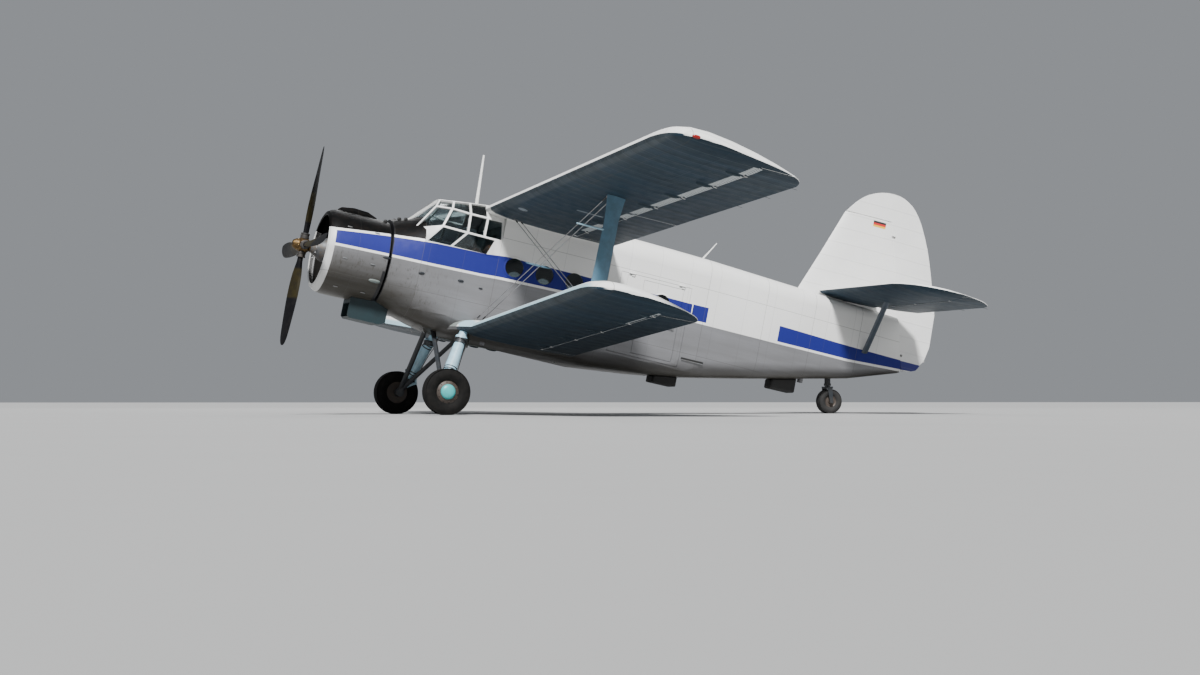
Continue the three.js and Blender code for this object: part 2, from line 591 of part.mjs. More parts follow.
const stabilizerFitted = cut(stabilizer, moved(tailConeBlank, 0, 0, seam),
  loft(finRows.map(finRing)).scale(1, 1.004, 1));

// Struts and stays
const strutRows = [
  { z: 1480, s0: 3700, s1: 4060, half: 55 },
  { z: 1300, s0: 3725, s1: 4030, half: 48 },
  { z: 1000, s0: 3750, s1: 3995, half: 42 },
  { z: 0, s0: 3735, s1: 4000, half: 42 },
  { z: -330, s0: 3690, s1: 4030, half: 50 },
  { z: -560, s0: 3620, s1: 4080, half: 60 },
];
const strutBlank = loft(strutRows.map(({ z, s0, s1, half }) => [
  [0, 0], [0.2, 0.8], [0.45, 1], [1, 0.16], [1, -0.16], [0.45, -1], [0.2, -0.8],
].map(([u, v]) => at(s0 + u * (s1 - s0), strutSpan + v * half, z))));
const interplane = cut(strutBlank, moved(upperWhole, 0, 0, -seam), moved(lowerWhole, 0, 0, seam));

const stay = { radius: 7, spacing: 100 };
function stays(from, to) {
  const lines = [0, 1].map((k) => rod(
    at(from[0] + k * stay.spacing, from[1], from[2]), at(to[0] + k * stay.spacing, to[1], to[2]), stay.radius, stay.radius, 6,
  ));
  const lug = ([s, y, z], reach) => box(s - 25, s + stay.spacing + 25, y - reach, y + reach, z - 16, z + 16);
  return join(...lines, lug(from, 30), lug(to, 30));
}
const airframeTools = [
  moved(upperWhole, 0, 0, -seam), moved(lowerWhole, 0, 0, seam), moved(roof, 0, seam, -seam),
  moved(belly, 0, seam, seam), skin.clone().scale(1, 1.0006, 1), moved(interplane, 0, -seam, 0),
];
const flyingWires = cut(stays([3080, 985, -690], [3760, 4690, 1372]), ...airframeTools);
const landingWires = cut(stays([3420, 1020, 1205], [3700, 4690, -455]), ...airframeTools);

// Main undercarriage
const oleoTop = at(2960, 880, -800);
const oleoFoot = at(wheel.s, 1440, wheel.z);
const alongLeg = (t) => oleoTop.clone().lerp(oleoFoot, t);
const socketTop = 0.78;
const legFaces = 20;
const knuckle = at(wheel.s, 1440, wheel.z + 20);
const bracePaths = [[2550, 250, -960], [3200, 330, -960]];
const bellyDown = moved(belly, 0, 0, -seam);
const axleSet = cut(join(
  rod(at(wheel.s, 1400, wheel.z), at(wheel.s, wheel.y + 100, wheel.z), wheel.axle, wheel.axle, 12),
  rod(at(wheel.s, 1370, wheel.z), at(wheel.s, 1510, wheel.z), 80, 80, 12),
  rod(alongLeg(socketTop + 0.0003), oleoFoot, 62, 62, legFaces),
  ...bracePaths.map(([s, y, z]) => blade(at(s, y, z), knuckle, 90, 60)),
), bellyDown);
const oleo = cut(join(
  rod(oleoTop, alongLeg(0.26), 72, 72, legFaces),
  rod(alongLeg(0.2), alongLeg(0.25), 112, 112, legFaces),
  rod(alongLeg(0.24), alongLeg(0.71), 92, 118, legFaces),
  rod(alongLeg(0.7), alongLeg(socketTop), 62, 62, legFaces),
), bellyDown, moved(lowerWhole, 0, 0, -seam));

const flatDown = (geometry, segments) => geometry.rotateY(Math.PI / segments);
function tyre(radius, width, rim, segments) {
  const reach = radius / Math.cos(Math.PI / segments);
  const w = width / 2;
  const half = [[rim, w * 0.62], [rim + (radius - rim) * 0.3, w * 0.93], [rim + (radius - rim) * 0.6, w],
    [radius * 0.955, w * 0.8], [reach, w * 0.42]];
  const profile = [...half, ...half.slice().reverse().map(([r, h]) => [r, -h])];
  return flatDown(turned([...profile, profile[0]], segments, 'y'), segments);
}
function hubOf(rim, width, bore, segments) {
  const w = width / 2;
  return flatDown(turned([
    [bore, -w * 0.5], [rim - seam * 2, -w * 0.58], [rim - seam * 2, w * 0.6], [rim * 0.82, w * 0.78], [rim * 0.45, w * 0.95],
    [bore, w], [bore, -w * 0.5],
  ], segments, 'y'), segments);
}
const mainTyre = parked(tyre(wheel.radius, wheel.width, wheel.rim, wheel.segments), wheel.s, wheel.y, wheel.z);
const mainHub = parked(hubOf(wheel.rim, wheel.width, wheel.axle + 0.75, wheel.segments), wheel.s, wheel.y, wheel.z);

// Castering tail wheel, drawn upright about its own axle
const casterForward = tailWheel.trail;
const forkTop = tailWheel.radius + 50;
const lift = (x, y, z) => new THREE.Vector3(x, y, z);
const plateSide = (side) => {
  const outline = [[-34, -34], [34, -34], [62 + casterForward, forkTop], [-40 + casterForward, forkTop]];
  return loft([side * 112, side * 128].map((y) => outline.map(([x, z]) => lift(x, y, z))));
};
const upright = (x, z0, z1, r, segments = 16) => rod(lift(x, 0, z0), lift(x, 0, z1), r, r, segments);
const fork = join(
  plateSide(1), plateSide(-1),
  new THREE.BoxGeometry(110, 256, 40).translate(casterForward, 0, forkTop - 20),
  upright(casterForward, forkTop - 20, forkTop + 12, 56),
  upright(casterForward, forkTop, forkTop + 110, 26),
  rod(lift(0, -128, 0), lift(0, 128, 0), tailWheel.axle, tailWheel.axle, 12),
);
const tailFork = parked(fork, tailWheel.s, 0, tailWheel.z);
const tailWheelWhole = (() => {
  const w = tailWheel.width / 2;
  const reach = tailWheel.radius / Math.cos(Math.PI / tailWheel.segments);
  const bore = tailWheel.axle + 0.75;
  const half = [[bore, w * 0.7], [120, w * 0.7], [165, w], [214, w * 0.82], [reach, w * 0.42]];
  const profile = [...half, ...half.slice().reverse().map(([r, h]) => [r, -h]), half[0]];
  return parked(flatDown(turned(profile, tailWheel.segments, 'y'), tailWheel.segments), tailWheel.s, 0, tailWheel.z);
})();
const tailLeg = cut(
  parked(cut(
    join(upright(casterForward, forkTop + 16, 620, 58), upright(casterForward, forkTop + 16, forkTop + 60, 70)),
    upright(casterForward, 0, forkTop + 118, 26.85),
  ), tailWheel.s, 0, tailWheel.z),
  moved(tailConeBlank, 0, 0, -seam),
);

// Engine, cowl and propeller
const cowlProfile = [
  [620, 295], [645, 280], [695, 303], [735, 365], [758, 470], [762, 760], [750, 1380],
  [735, 1380], [747, 760], [742, 480], [712, 372],
];
const cowlSkin = turned([...cowlProfile, cowlProfile[0]], cowl.segments, 's');
const scoopRows = [
  { s: 400, half: 95, top: 700 },
  { s: 520, half: 135, top: 815 },
  { s: 740, half: 150, top: 848 },
  { s: 1000, half: 140, top: 835 },
  { s: 1180, half: 110, top: 770 },
];
const scoop = loft(scoopRows.map(({ s, half, top }) => [
  at(s, -half, 640), at(s, half, 640), at(s, half, top - 60), at(s, half * 0.6, top), at(s, -half * 0.6, top), at(s, -half, top - 60),
]));
const cowlInside = turned([[0, 200], [640, 200], [690, 330], [746, 500], [747, 1500], [0, 1500]], cowl.segments, 's');
const engineCowl = join(cowlSkin, cut(scoop, cowlInside));

const radial = (angle, s, r) => at(s, r * Math.sin(angle), r * Math.cos(angle));
const cylinderAngles = Array.from({ length: engineSize.cylinders }, (unused, k) => (2 * Math.PI * k) / engineSize.cylinders);
const shaft = (s0, s1, r) => rod(at(s0, 0, 0), at(s1, 0, 0), r, r, 24);
const engineWhole = join(
  shaft(52, 140, 40),
  turned([[0, 130], [88, 130], [120, 200], [205, 330], [250, 470], [290, 560], [300, 1040], [250, 1250], [250, 1419], [0, 1419]], 18, 's'),
  ...cylinderAngles.flatMap((a) => [
    rod(radial(a, 800, 200), radial(a, 800, 560), 84, 84, 8),
    rod(radial(a, 800, 540), radial(a, 800, engineSize.bank), 122, 100, 8),
    rod(radial(a + 0.35, 1150, 200), radial(a + 0.35, 1150, 750), 18, 18, 4),
  ]),
  rod(at(1150, 0, 0), at(1190, 0, 0), 470, 470, 12),
);
const engine = cut(engineWhole, engineCowl.clone().scale(1, 0.9996, 0.9996));

const bladeRows = [
  { r: 90, chord: 100, thick: 100, pitch: 60 },
  { r: 300, chord: 110, thick: 95, pitch: 55 },
  { r: 520, chord: 190, thick: 62, pitch: 47 },
  { r: 900, chord: 262, thick: 40, pitch: 34 },
  { r: 1350, chord: 262, thick: 26, pitch: 24 },
  { r: 1650, chord: 220, thick: 18, pitch: 20 },
  { r: 1765, chord: 140, thick: 12, pitch: 18 },
  { r: 1800, chord: 50, thick: 8, pitch: 18 },
];
const propBlade = loft(finer(bladeRows, 2).map(({ r, chord, thick, pitch }) => {
  const angle = THREE.MathUtils.degToRad(pitch);
  const section = [[-0.5, 0], [-0.32, 0.42], [0, 0.5], [0.32, 0.34], [0.5, 0], [0.32, -0.34], [0, -0.5], [-0.32, -0.42]];
  return section.map(([u, v]) => {
    const across = u * chord * Math.cos(angle) - v * thick * Math.sin(angle);
    const ahead = u * chord * Math.sin(angle) + v * thick * Math.cos(angle);
    return new THREE.Vector3(ahead, across, r);
  });
}));
const propeller = cut(join(
  turned([[0, -205], [62, -190], [96, -140], [104, -90], [prop.hub, -70], [prop.hub, 70], [86, 110], [86, 126], [0, 126]], 24, 's'),
  ...Array.from({ length: prop.blades }, (unused, k) => propBlade.clone().rotateX((2 * Math.PI * k) / prop.blades)),
), shaft(40, 140, 40.8));

const noseDown = moved(noseSection, -seam, 0, -seam);
const cowlDown = moved(turned([[0, 270], [640, 270], [762, 470], [762, 1100], [751, 1381], [0, 1381]], cowl.segments, 's'), seam, 0, -seam);
const oilDuct = cut(
  sidePrism([[970, -690], [970, -1040], [1010, -1085], [1560, -1090], [1670, -1040], [1670, -690]], -250, 250),
  box(900, 1750, -225, 225, -1060, -820), noseDown, cowlDown,
);
class PipePath extends THREE.CatmullRomCurve3 {}
const pipe = new PipePath([at(1500, -520, -420), at(1560, -700, -560), at(1700, -830, -690), at(1900, -905, -790)]);
const pipeCircle = new THREE.Shape(Array.from({ length: 12 }, (unused, k) => {
  const a = (2 * Math.PI * k) / 12;
  return new THREE.Vector2(78 * Math.cos(a), 78 * Math.sin(a));
}));
const exhaust = cut(
  clean(new THREE.ExtrudeGeometry(pipeCircle, { steps: 6, extrudePath: pipe })),
  moved(noseSection, 0, -seam, -seam), moved(belly, 0, -seam, -seam), rod(at(1860, -889, -770), at(1930, -916, -805), 62, 62, 12),
);

// Cockpit fittings
const panel = common(
  join(box(1990, 2050, -640, 640, 330, 850), box(1960, 2110, -150, 150, -300 + seam, 340)),
  hood(60),
);
const panelWhole = join(
  common(box(1990, 2050, -640, 640, 480, 850), hood(60)), box(1990, 2050, -640, 640, 330, 500),
  box(1990, 2110, -150, 150, -300 + seam, 340),
);
const seat = join(
  box(2780, 3120, 300, 560, -300 + seam, 60), box(2720, 3180, 200, 660, 40, 170),
  sidePrism([[3110, 60], [3200, 60], [3285, 800], [3200, 800]], 215, 645),
);

// Aerial and the boxes under the belly
const mast = cut(rod(at(2955, 0, 1380), at(2900, 0, 2380), 34, 18, 10), moved(hoodOuter, 0, 0, seam));
const podFront = cut(box(6900, 7400, -170, 170, -985, -740), moved(belly, 0, 0, -seam));
const podRear = cut(box(9310, 9840, -150, 150, -590, -150), moved(tailConeBlank, 0, 0, -seam));
const tailStrut = cut(
  blade(at(11080, 300, 470), at(10900, 1230, 1480), 120, 44),
  skin.clone().scale(1, 1.002, 1), moved(tailWhole, 0, 0, -seam),
);

// Colours
const paint = {
  white: { color: 0xe6e8ea, metalness: 0.0, roughness: 0.4 },
  silver: { color: 0xa9adb0, metalness: 0.5, roughness: 0.42 },
  sky: { color: 0x7fb0c6, metalness: 0.0, roughness: 0.5 },
  underside: { color: 0x4c6f80, metalness: 0.0, roughness: 0.55 },
  black: { color: 0x17181a, metalness: 0.1, roughness: 0.5 },
  rubber: { color: 0x141414, metalness: 0.0, roughness: 0.85 },
  turquoise: { color: 0x57b7b3, metalness: 0.0, roughness: 0.4 },
  teal: { color: 0x2e5f66, metalness: 0.0, roughness: 0.5 },
  metal: { color: 0x54585c, metalness: 0.85, roughness: 0.4 },
  glass: { color: 0x24303a, metalness: 0.0, roughness: 0.08 },
  leather: { color: 0x6b4226, metalness: 0.0, roughness: 0.7 },
  floor: { color: 0x6f7568, metalness: 0.0, roughness: 0.7 },
  steel: { color: 0x9aa0a6, metalness: 0.9, roughness: 0.3 },
};

const aircraft = new THREE.Group();
aircraft.name = 'aircraft';
aircraft.rotation.y = -groundAngle;

function place(name, geometry, finish) {
  const faceted = geometry.toNonIndexed();
  faceted.computeVertexNormals();
  const material = new THREE.MeshStandardMaterial(paint[finish]);
  material.name = `${finish}_finish`;
  const mesh = new THREE.Mesh(faceted, material);
  mesh.name = name;
  aircraft.add(mesh);
}
function placePair(name, geometry, finish) {
  place(`${name}_left`, geometry, finish);
  place(`${name}_right`, mirror(clean(geometry)), finish);
}

place('engine_cowl', engineCowl, 'white');
place('engine', engine, 'metal');
place('propeller', propeller, 'black');
place('oil_cooler_duct', oilDuct, 'teal');
place('exhaust_pipe', exhaust, 'metal');
place('nose_section', noseSection, 'white');
place('belly', belly, 'silver');
place('wall_left', wallFitted, 'white');
place('wall_right', wallStarboard, 'white');
place('roof', roof, 'white');
place('tail_cone', tailCone, 'white');
place('cargo_door', cargoFitted, 'white');
place('crew_door', crewFitted, 'white');
place('cockpit_frames', frames, 'white');
place('cockpit_glass', glass, 'glass');
place('cabin_bulkhead', bulkhead, 'floor');
place('instrument_panel', panelWhole, 'black');
placePair('pilot_seat', seat, 'leather');
placePair('upper_wing', upperPanel, 'underside');
placePair('upper_flap', upperFlap, 'underside');
placePair('aileron', upperAileron, 'underside');
placePair('lower_wing', lowerPanel, 'underside');
placePair('lower_flap', lowerFlap, 'underside');
placePair('interplane_strut', interplane, 'sky');
placePair('flying_wires', flyingWires, 'steel');
placePair('landing_wires', landingWires, 'steel');
placePair('oleo_leg', oleo, 'sky');
placePair('axle_brace', axleSet, 'metal');
placePair('main_tyre', mainTyre, 'rubber');
placePair('main_hub', mainHub, 'turquoise');
place('tail_leg', tailLeg, 'metal');
place('tail_fork', tailFork, 'metal');
place('tail_wheel', tailWheelWhole, 'rubber');
placePair('stabilizer', stabilizerFitted, 'underside');
placePair('elevator', elevator, 'underside');
placePair('tail_strut', tailStrut, 'sky');
place('fin', fin, 'white');
place('rudder', rudder, 'white');
place('mast_aerial', mast, 'white');
place('belly_box_front', podFront, 'black');
place('belly_box_rear', podRear, 'black');

// Stand it on its wheels with the middle of its length over the origin
const group = new THREE.Group();
group.name = 'biplane';
group.add(aircraft);
group.updateMatrixWorld(true);
const extent = new THREE.Box3().setFromObject(group, true);
const tyreBox = new THREE.Box3().setFromObject(aircraft.getObjectByName('main_tyre_left'), true);
aircraft.position.x = -(extent.min.x + extent.max.x) / 2;
aircraft.position.z = -tyreBox.min.z;
group.updateMatrixWorld(true);

export default group;
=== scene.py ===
"""Finishes, fittings, light and camera for the utility biplane.

Everything is worked out level: s metres aft of the propeller plane, y to port, z up from the thrust line.
A last step pitches it nose-up to the angle at which the aircraft stands.
"""
import math
from functools import reduce
from operator import or_
import bmesh
import bpy
import numpy as np
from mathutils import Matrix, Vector


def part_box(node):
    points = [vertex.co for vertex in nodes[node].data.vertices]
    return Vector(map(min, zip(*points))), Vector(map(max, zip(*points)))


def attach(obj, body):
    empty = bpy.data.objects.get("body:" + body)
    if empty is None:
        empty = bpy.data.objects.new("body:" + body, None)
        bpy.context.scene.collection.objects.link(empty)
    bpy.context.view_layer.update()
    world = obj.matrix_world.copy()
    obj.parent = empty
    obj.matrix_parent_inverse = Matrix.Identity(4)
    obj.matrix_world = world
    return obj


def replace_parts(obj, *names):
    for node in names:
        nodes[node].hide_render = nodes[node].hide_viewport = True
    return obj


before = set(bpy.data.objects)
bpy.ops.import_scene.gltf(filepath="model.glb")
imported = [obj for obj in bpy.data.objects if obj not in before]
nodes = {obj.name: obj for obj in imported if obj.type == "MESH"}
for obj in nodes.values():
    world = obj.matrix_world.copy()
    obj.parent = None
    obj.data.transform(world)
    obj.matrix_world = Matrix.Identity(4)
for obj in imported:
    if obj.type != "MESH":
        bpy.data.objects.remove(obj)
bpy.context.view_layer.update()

# Standing attitude, directions in the level drawing, and both sides of the aircraft
pitch = math.radians(11.83)
wheel = {"s": 2.62, "y": 1.68, "z": -2.09, "radius": 0.4, "rim": 0.2, "width": 0.26}
aft, ahead, port, upward = (1, 0, 0), (-1, 0, 0), (0, 1, 0), (0, 0, 1)
hands = ((1, "left"), (-1, "right"))
render_levels = 2


def standing_offset():
    """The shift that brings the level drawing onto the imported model, taken from the port wheel hub."""
    low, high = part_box("main_hub_left")
    middle = (low + high) / 2
    along = middle.x + wheel["s"] * math.cos(pitch) + wheel["z"] * math.sin(pitch)
    up = middle.z + wheel["s"] * math.sin(pitch) - wheel["z"] * math.cos(pitch)
    return along, up


offset_x, offset_z = standing_offset()


def stand(points):
    """Turns (s, y, z) rows by the pitch and shifts them: x = X - s cos - z sin, z = Z - s sin + z cos."""
    p = np.asarray(points, float)
    x = offset_x - p[..., 0] * math.cos(pitch) - p[..., 2] * math.sin(pitch)
    z = offset_z - p[..., 0] * math.sin(pitch) + p[..., 2] * math.cos(pitch)
    return np.stack([x, p[..., 1], z], axis=-1)


# Finishes
finishes = {}


class Field:
    """A value that varies over the surface. Arithmetic on it adds math nodes."""

    def __init__(self, finish, socket):
        self.finish = finish
        self.socket = socket

    def __add__(self, other):
        return self.finish.math("ADD", self, other)

    def __sub__(self, other):
        return self.finish.math("SUBTRACT", self, other)

    def __mul__(self, other):
        return self.finish.math("MULTIPLY", self, other)

    def __or__(self, other):
        """The larger of the two."""
        return self.finish.math("MAXIMUM", self, other)

    def __invert__(self):
        """One where the field is nought, and nought where it is one."""
        return self.finish.math("SUBTRACT", 1.0, self)

    def __abs__(self):
        return self.finish.math("ABSOLUTE", self)

    def distance(self, other):
        """The root of the sum of both squares."""
        return self.finish.math("SQRT", self * self + other * other)

    def folded(self, width):
        """Runs from nought up to the width and back, over and over."""
        return self.finish.math("PINGPONG", self, width)

    def above(self, edge, soft=0.002):
        """Nought below the edge and one above it, softened over the given width."""
        return self.finish.math("MULTIPLY_ADD", self - edge, 0.5 / soft, 0.5, clamp=True)

    def below(self, edge, soft=0.002):
        return ~self.above(edge, soft)

    def within(self, low, high, soft=0.002):
        return self.above(low, soft) * self.below(high, soft)

    def lines(self, spacing, width, start=0.0):
        """One on thin lines that repeat at the spacing, nought between them."""
        return (self - start).folded(spacing / 2).below(width, width / 2)

    def seams(self, places, width=0.004):
        """One on thin joints at the given places."""
        return reduce(or_, [abs(self - place).below(width, width / 2) for place in places])


class Finish:
    """One procedural material on the shader's own sockets, with level coordinates ready for use."""

    def __init__(self, name, paint, **sockets):
        material = bpy.data.materials.new(name)
        material.use_nodes = True
        finishes[name] = material
        self.paint = paint
        self.nodes = material.node_tree.nodes
        self.links = material.node_tree.links
        self.shader = self.nodes["Principled BSDF"].inputs
        for socket, value in sockets.items():
            self.shader[socket.replace("_", " ")].default_value = value
        place = self.node("ShaderNodeTexCoord")
        turn = self.node("ShaderNodeMapping")
        self.links.new(place.outputs["Object"], turn.inputs["Vector"])
        turn.inputs["Rotation"].default_value = (0, pitch, 0)
        turn.inputs["Location"].default_value = (
            -offset_x * math.cos(pitch) - offset_z * math.sin(pitch), 0,
            offset_x * math.sin(pitch) - offset_z * math.cos(pitch))
        self.level = turn.outputs["Vector"]
        forward, self.y, self.z = self.split(self.level)
        self.s = forward * -1.0
        face = self.node("ShaderNodeMapping", vector_type="VECTOR")
        self.links.new(place.outputs["Normal"], face.inputs["Vector"])
        face.inputs["Rotation"].default_value = (0, pitch, 0)
        self.side, self.up = self.split(face.outputs["Vector"])[1:]

    def node(self, kind, **settings):
        added = self.nodes.new(kind)
        for key, value in settings.items():
            setattr(added, key, value)
        return added

    def put(self, socket, value):
        """Links a field or a socket, and sets anything else as the socket's own value."""
        if isinstance(value, Field):
            self.links.new(value.socket, socket)
        elif isinstance(value, bpy.types.NodeSocket):
            self.links.new(value, socket)
        else:
            socket.default_value = value

    def split(self, vector):
        parts = self.node("ShaderNodeSeparateXYZ")
        self.links.new(vector, parts.inputs[0])
        return [Field(self, out) for out in parts.outputs]

    def math(self, operation, *values, clamp=False):
        added = self.node("ShaderNodeMath", operation=operation, use_clamp=clamp)
        for socket, value in zip(added.inputs, values):
            self.put(socket, value)
        return Field(self, added.outputs[0])

    def blend(self, factor, first, second):
        """The first colour where the factor is nought and the second where it is one."""
        added = self.node("ShaderNodeMix", data_type="RGBA")
        self.put(added.inputs[0], factor)
        for socket, value in ((added.inputs[6], first), (added.inputs[7], second)):
            self.put(socket, (*value, 1.0) if isinstance(value, tuple) else value)
        return added.outputs[2]

    def coat(self, factor, colour):
        """Lays a colour over the paint so far, as far as the factor says."""
        self.paint = self.blend(factor, self.paint, colour)
        self.put(self.shader["Base Color"], self.paint)

    def noise(self, scale, detail=4.0, rough=0.55, stretch=(1, 1, 1)):
        """Cloudy value from nought to one; stretch squeezes it along the level axes."""
        squeeze = self.node("ShaderNodeMapping")
        self.links.new(self.level, squeeze.inputs["Vector"])
        squeeze.inputs["Scale"].default_value = stretch
        cloud = self.node("ShaderNodeTexNoise")
        self.links.new(squeeze.outputs["Vector"], cloud.inputs["Vector"])
        for socket, value in (("Scale", scale), ("Detail", detail), ("Roughness", rough)):
            cloud.inputs[socket].default_value = value
        return Field(self, cloud.outputs[0])

    def along(self, value, points):
        """A broken line through (place, height) points, as a function of the value."""
        first, last = points[0][0], points[-1][0]
        ramp = self.node("ShaderNodeValToRGB")
        self.put(ramp.inputs[0], (value - first) * (1.0 / (last - first)))
        elements = ramp.color_ramp.elements
        while len(elements) < len(points):
            elements.new(0.5)
        for element, (place, height) in zip(elements, points):
            element.position = (place - first) / (last - first)
            element.color = (height, height, height, 1.0)
        return Field(self, ramp.outputs["Color"])

    def relief(self, height, depth=0.002, strength=0.5):
        bump = self.node("ShaderNodeBump")
        self.put(bump.inputs["Height"], height)
        bump.inputs["Distance"].default_value = depth
        bump.inputs["Strength"].default_value = strength
        self.links.new(bump.outputs[0], self.shader["Normal"])

    def rough(self, value, gain, base):
        """Roughness of the value times the gain, plus the base."""
        self.put(self.shader["Roughness"], self.math("MULTIPLY_ADD", value, gain, base))


# Colours, and the places of the stripe and of the painted light in the slots along the wing hinges
white = (0.8, 0.8, 0.785)
grime = (0.16, 0.13, 0.095)
cobalt = (0.007, 0.011, 0.175)
nose_black = (0.004, 0.004, 0.004)
# The wing undersides' pale blue, darkened to stand for painted shade
shaded_sky_blue = (0.013, 0.035, 0.058)
# Dark brown for the down-facing silver: painted shade with soot
belly_shade_and_soot = (0.036, 0.031, 0.022)
leading_blue = (0.3, 0.5, 0.58)
upper_slots = [(1.66, 2.59), (3.42, 3.81), (3.93, 4.59), (4.83, 5.75), (5.91, 6.94), (7.1, 8.02), (8.17, 8.7)]
lower_slots = [(4.98, 5.92), (6.06, 6.44)]
stripe_low = [(0.39, 0.09), (1.35, 0.12), (2.12, 0.12), (3.05, 0.14), (3.43, 0.16), (7.07, 0.24),
              (9.07, 0.25), (10.73, 0.27), (12.38, 0.37)]
stripe_high = [(0.39, 0.32), (1.35, 0.44), (2.12, 0.48), (3.05, 0.5), (3.43, 0.54), (7.07, 0.52),
               (9.07, 0.55), (10.73, 0.52), (12.38, 0.52)]
stripe_gap = (7.49, 9.07)
stripe_edge = 0.045
weave_scale = 240.0


def slots(across, spans):
    """One inside the given spans, with a thin rib crossing every 75 mm."""
    inside = [across.within(low, high, 0.004) for low, high in spans]
    return reduce(or_, inside) * ~across.lines(0.075, 0.006)


def hull_stripe(f):
    """The lower and the upper edge of the stripe, and one between them."""
    low = f.along(f.s, stripe_low)
    high = f.along(f.s, stripe_high)
    return low, high, (f.z - low).above(0.0) * (f.z - high).below(0.0)


def wing_colours(f):
    """White above with dusty streaks, blue below darkened as painted shade with grime drawn aft, and painted
    light in the slots ahead of the flaps.
    """
    dust = f.noise(1.6, stretch=(0.35, 1, 1)).above(0.56, 0.22)
    streak = f.noise(2.2, 5.0, stretch=(0.25, 2.6, 1)).above(0.5, 0.16)
    across = abs(f.y)
    upper_wing = f.z.above(0.5)
    top = f.blend(dust * 0.3, white, (0.58, 0.575, 0.55))
    tread = f.z.below(0.2) * across.below(1.62) * f.s.within(3.12, 4.3)
    top = f.blend(tread * 0.9, top, (0.055, 0.055, 0.055))
    nose = f.z.below(0.6) * f.s.below(3.03, 0.03) * f.s.above(2.8)
    top = f.blend(nose * 0.85, top, leading_blue)
    below = f.blend(f.s.below(3.075, 0.03) * 0.22, shaded_sky_blue, (0.2, 0.21, 0.2))
    below = f.blend(streak * 0.5, below, (0.01, 0.017, 0.02))
    disc = (f.s - 3.25).distance(across - 1.91).below(0.085, 0.004)
    strip = f.s.within(3.82, 4.3, 0.004) * across.within(3.065, 3.135, 0.004)
    below = f.blend((disc | strip) * upper_wing * 0.85, below, (0.26, 0.3, 0.33))
    # Painted light: pale dashes on the flap and aileron noses for the sunlit gaps of the hinge slots
    light = upper_wing * f.s.within(4.45, 4.6) * slots(across, upper_slots)
    low_light = ~upper_wing * f.s.within(4.315, 4.365) * slots(across, lower_slots)
    below = f.blend((light | low_light) * 0.9, below, (0.6, 0.64, 0.65))
    return f.blend(f.up.above(-0.28, 0.05), below, top)


def hull_finish():
    """White above silver, a cobalt stripe with white edges between, a black deck, and wing root colours."""
    f = Finish("hull_paint", white, Specular_IOR_Level=0.35)
    low, high, stripe = hull_stripe(f)
    cloudy = f.noise(1.3, stretch=(0.6, 1, 1))
    streaky = f.noise(3.0, 5.0, 0.6, (0.22, 1, 2.2))
    worn = f.noise(9.0, 6.0, 0.65)
    on_hull = abs(f.y).below(0.915)
    f.coat(cloudy.above(0.55, 0.2) * 0.22, (0.62, 0.6, 0.55))

    # Silver lower half, darkened where it faces down as painted shade with soot streaks, and specked beside
    # the nose
    silver = f.blend(streaky.above(0.5, 0.25) * 0.5, (0.31, 0.315, 0.335), (0.2, 0.2, 0.205))
    facing_down_shade = (f.up - f.s.below(2.2, 0.6) * 0.24 - f.s.below(1.4, 0.04) * 0.14).below(-0.34, 0.62)
    soot = facing_down_shade * (streaky * 0.35 + 0.78)
    silver = f.blend(f.math("MINIMUM", soot, 0.96), silver, belly_shade_and_soot)
    specks = f.noise(22.0, 6.0, 0.7, (1, 1, 0.35)).above(0.6, 0.06)
    beside_nose = f.s.below(2.3, 0.5) * f.z.below(0.02, 0.05)
    silver = f.blend(specks * beside_nose * 0.55, silver, (0.045, 0.038, 0.026))
    in_silver = f.z.below(low - stripe_edge)
    f.coat(in_silver, silver)

    # Stripe, cowl lip, black deck, the inside of the cowl, and painted shade in the gap behind it
    stripe = stripe * f.s.above(stripe_low[0][0]) * ~f.s.within(*stripe_gap)
    f.coat(stripe, f.blend(cloudy * 0.25, cobalt, (0.013, 0.022, 0.175)))
    f.coat(f.s.below(0.395), (0.66, 0.66, 0.65))
    deck = (f.z - high).above(stripe_edge) * f.s.below(2.16)
    f.coat(deck, f.blend(worn.above(0.58, 0.1) * 0.35, nose_black, (0.024, 0.016, 0.012)))
    f.coat((f.y * f.side + f.z * f.up).below(-0.03, 0.01) * f.s.within(0.405, 1.43), (0.03, 0.028, 0.026))
    # Painted shade: a near-black band for the dark gap behind the cowl, wider low down
    f.coat(f.s.within(1.368, 1.43) | f.s.within(1.325, 1.43) * f.z.below(-0.2, 0.004), (0.02, 0.02, 0.022))

    # Panel joints, frames, wing roots and the cabin lining
    joints = f.s.seams((1.945, 3.3, 5.4, 7.42, 8.7, 9.8, 10.9)) | f.z.seams((-0.4, 0.86))
    joints = (joints | f.s.lines(0.62, 0.003, 0.2) * 0.55) * on_hull
    f.coat(joints * 0.55, (0.09, 0.085, 0.08))
    beyond = abs(f.y).above(0.925, 0.006) * f.s.within(2.4, 5.6)
    f.coat(beyond, wing_colours(f))
    inside = (f.y * f.side + (f.z - 0.2) * f.up).below(-0.02, 0.01) * on_hull
    inside = inside * f.z.below(1.095) * f.s.within(1.96, 7.415)
    f.coat(inside, f.blend(streaky.above(0.5, 0.2) * 0.5, (0.21, 0.235, 0.22), (0.12, 0.13, 0.125)))

    metal = in_silver * ~beyond * ~stripe * ~inside * ~facing_down_shade
    f.put(f.shader["Metallic"], metal * 0.5 + deck * 0.8)
    f.rough(worn, 0.24, deck * 0.16 + stripe * 0.3 + 0.26)
    rivets = ((f.s - 0.2).folded(0.31) - 0.018).distance(f.z.folded(0.0225)).below(0.0045, 0.0025) * on_hull
    f.relief(rivets * 0.5 - joints + cloudy * 0.25, 0.003, 0.45)


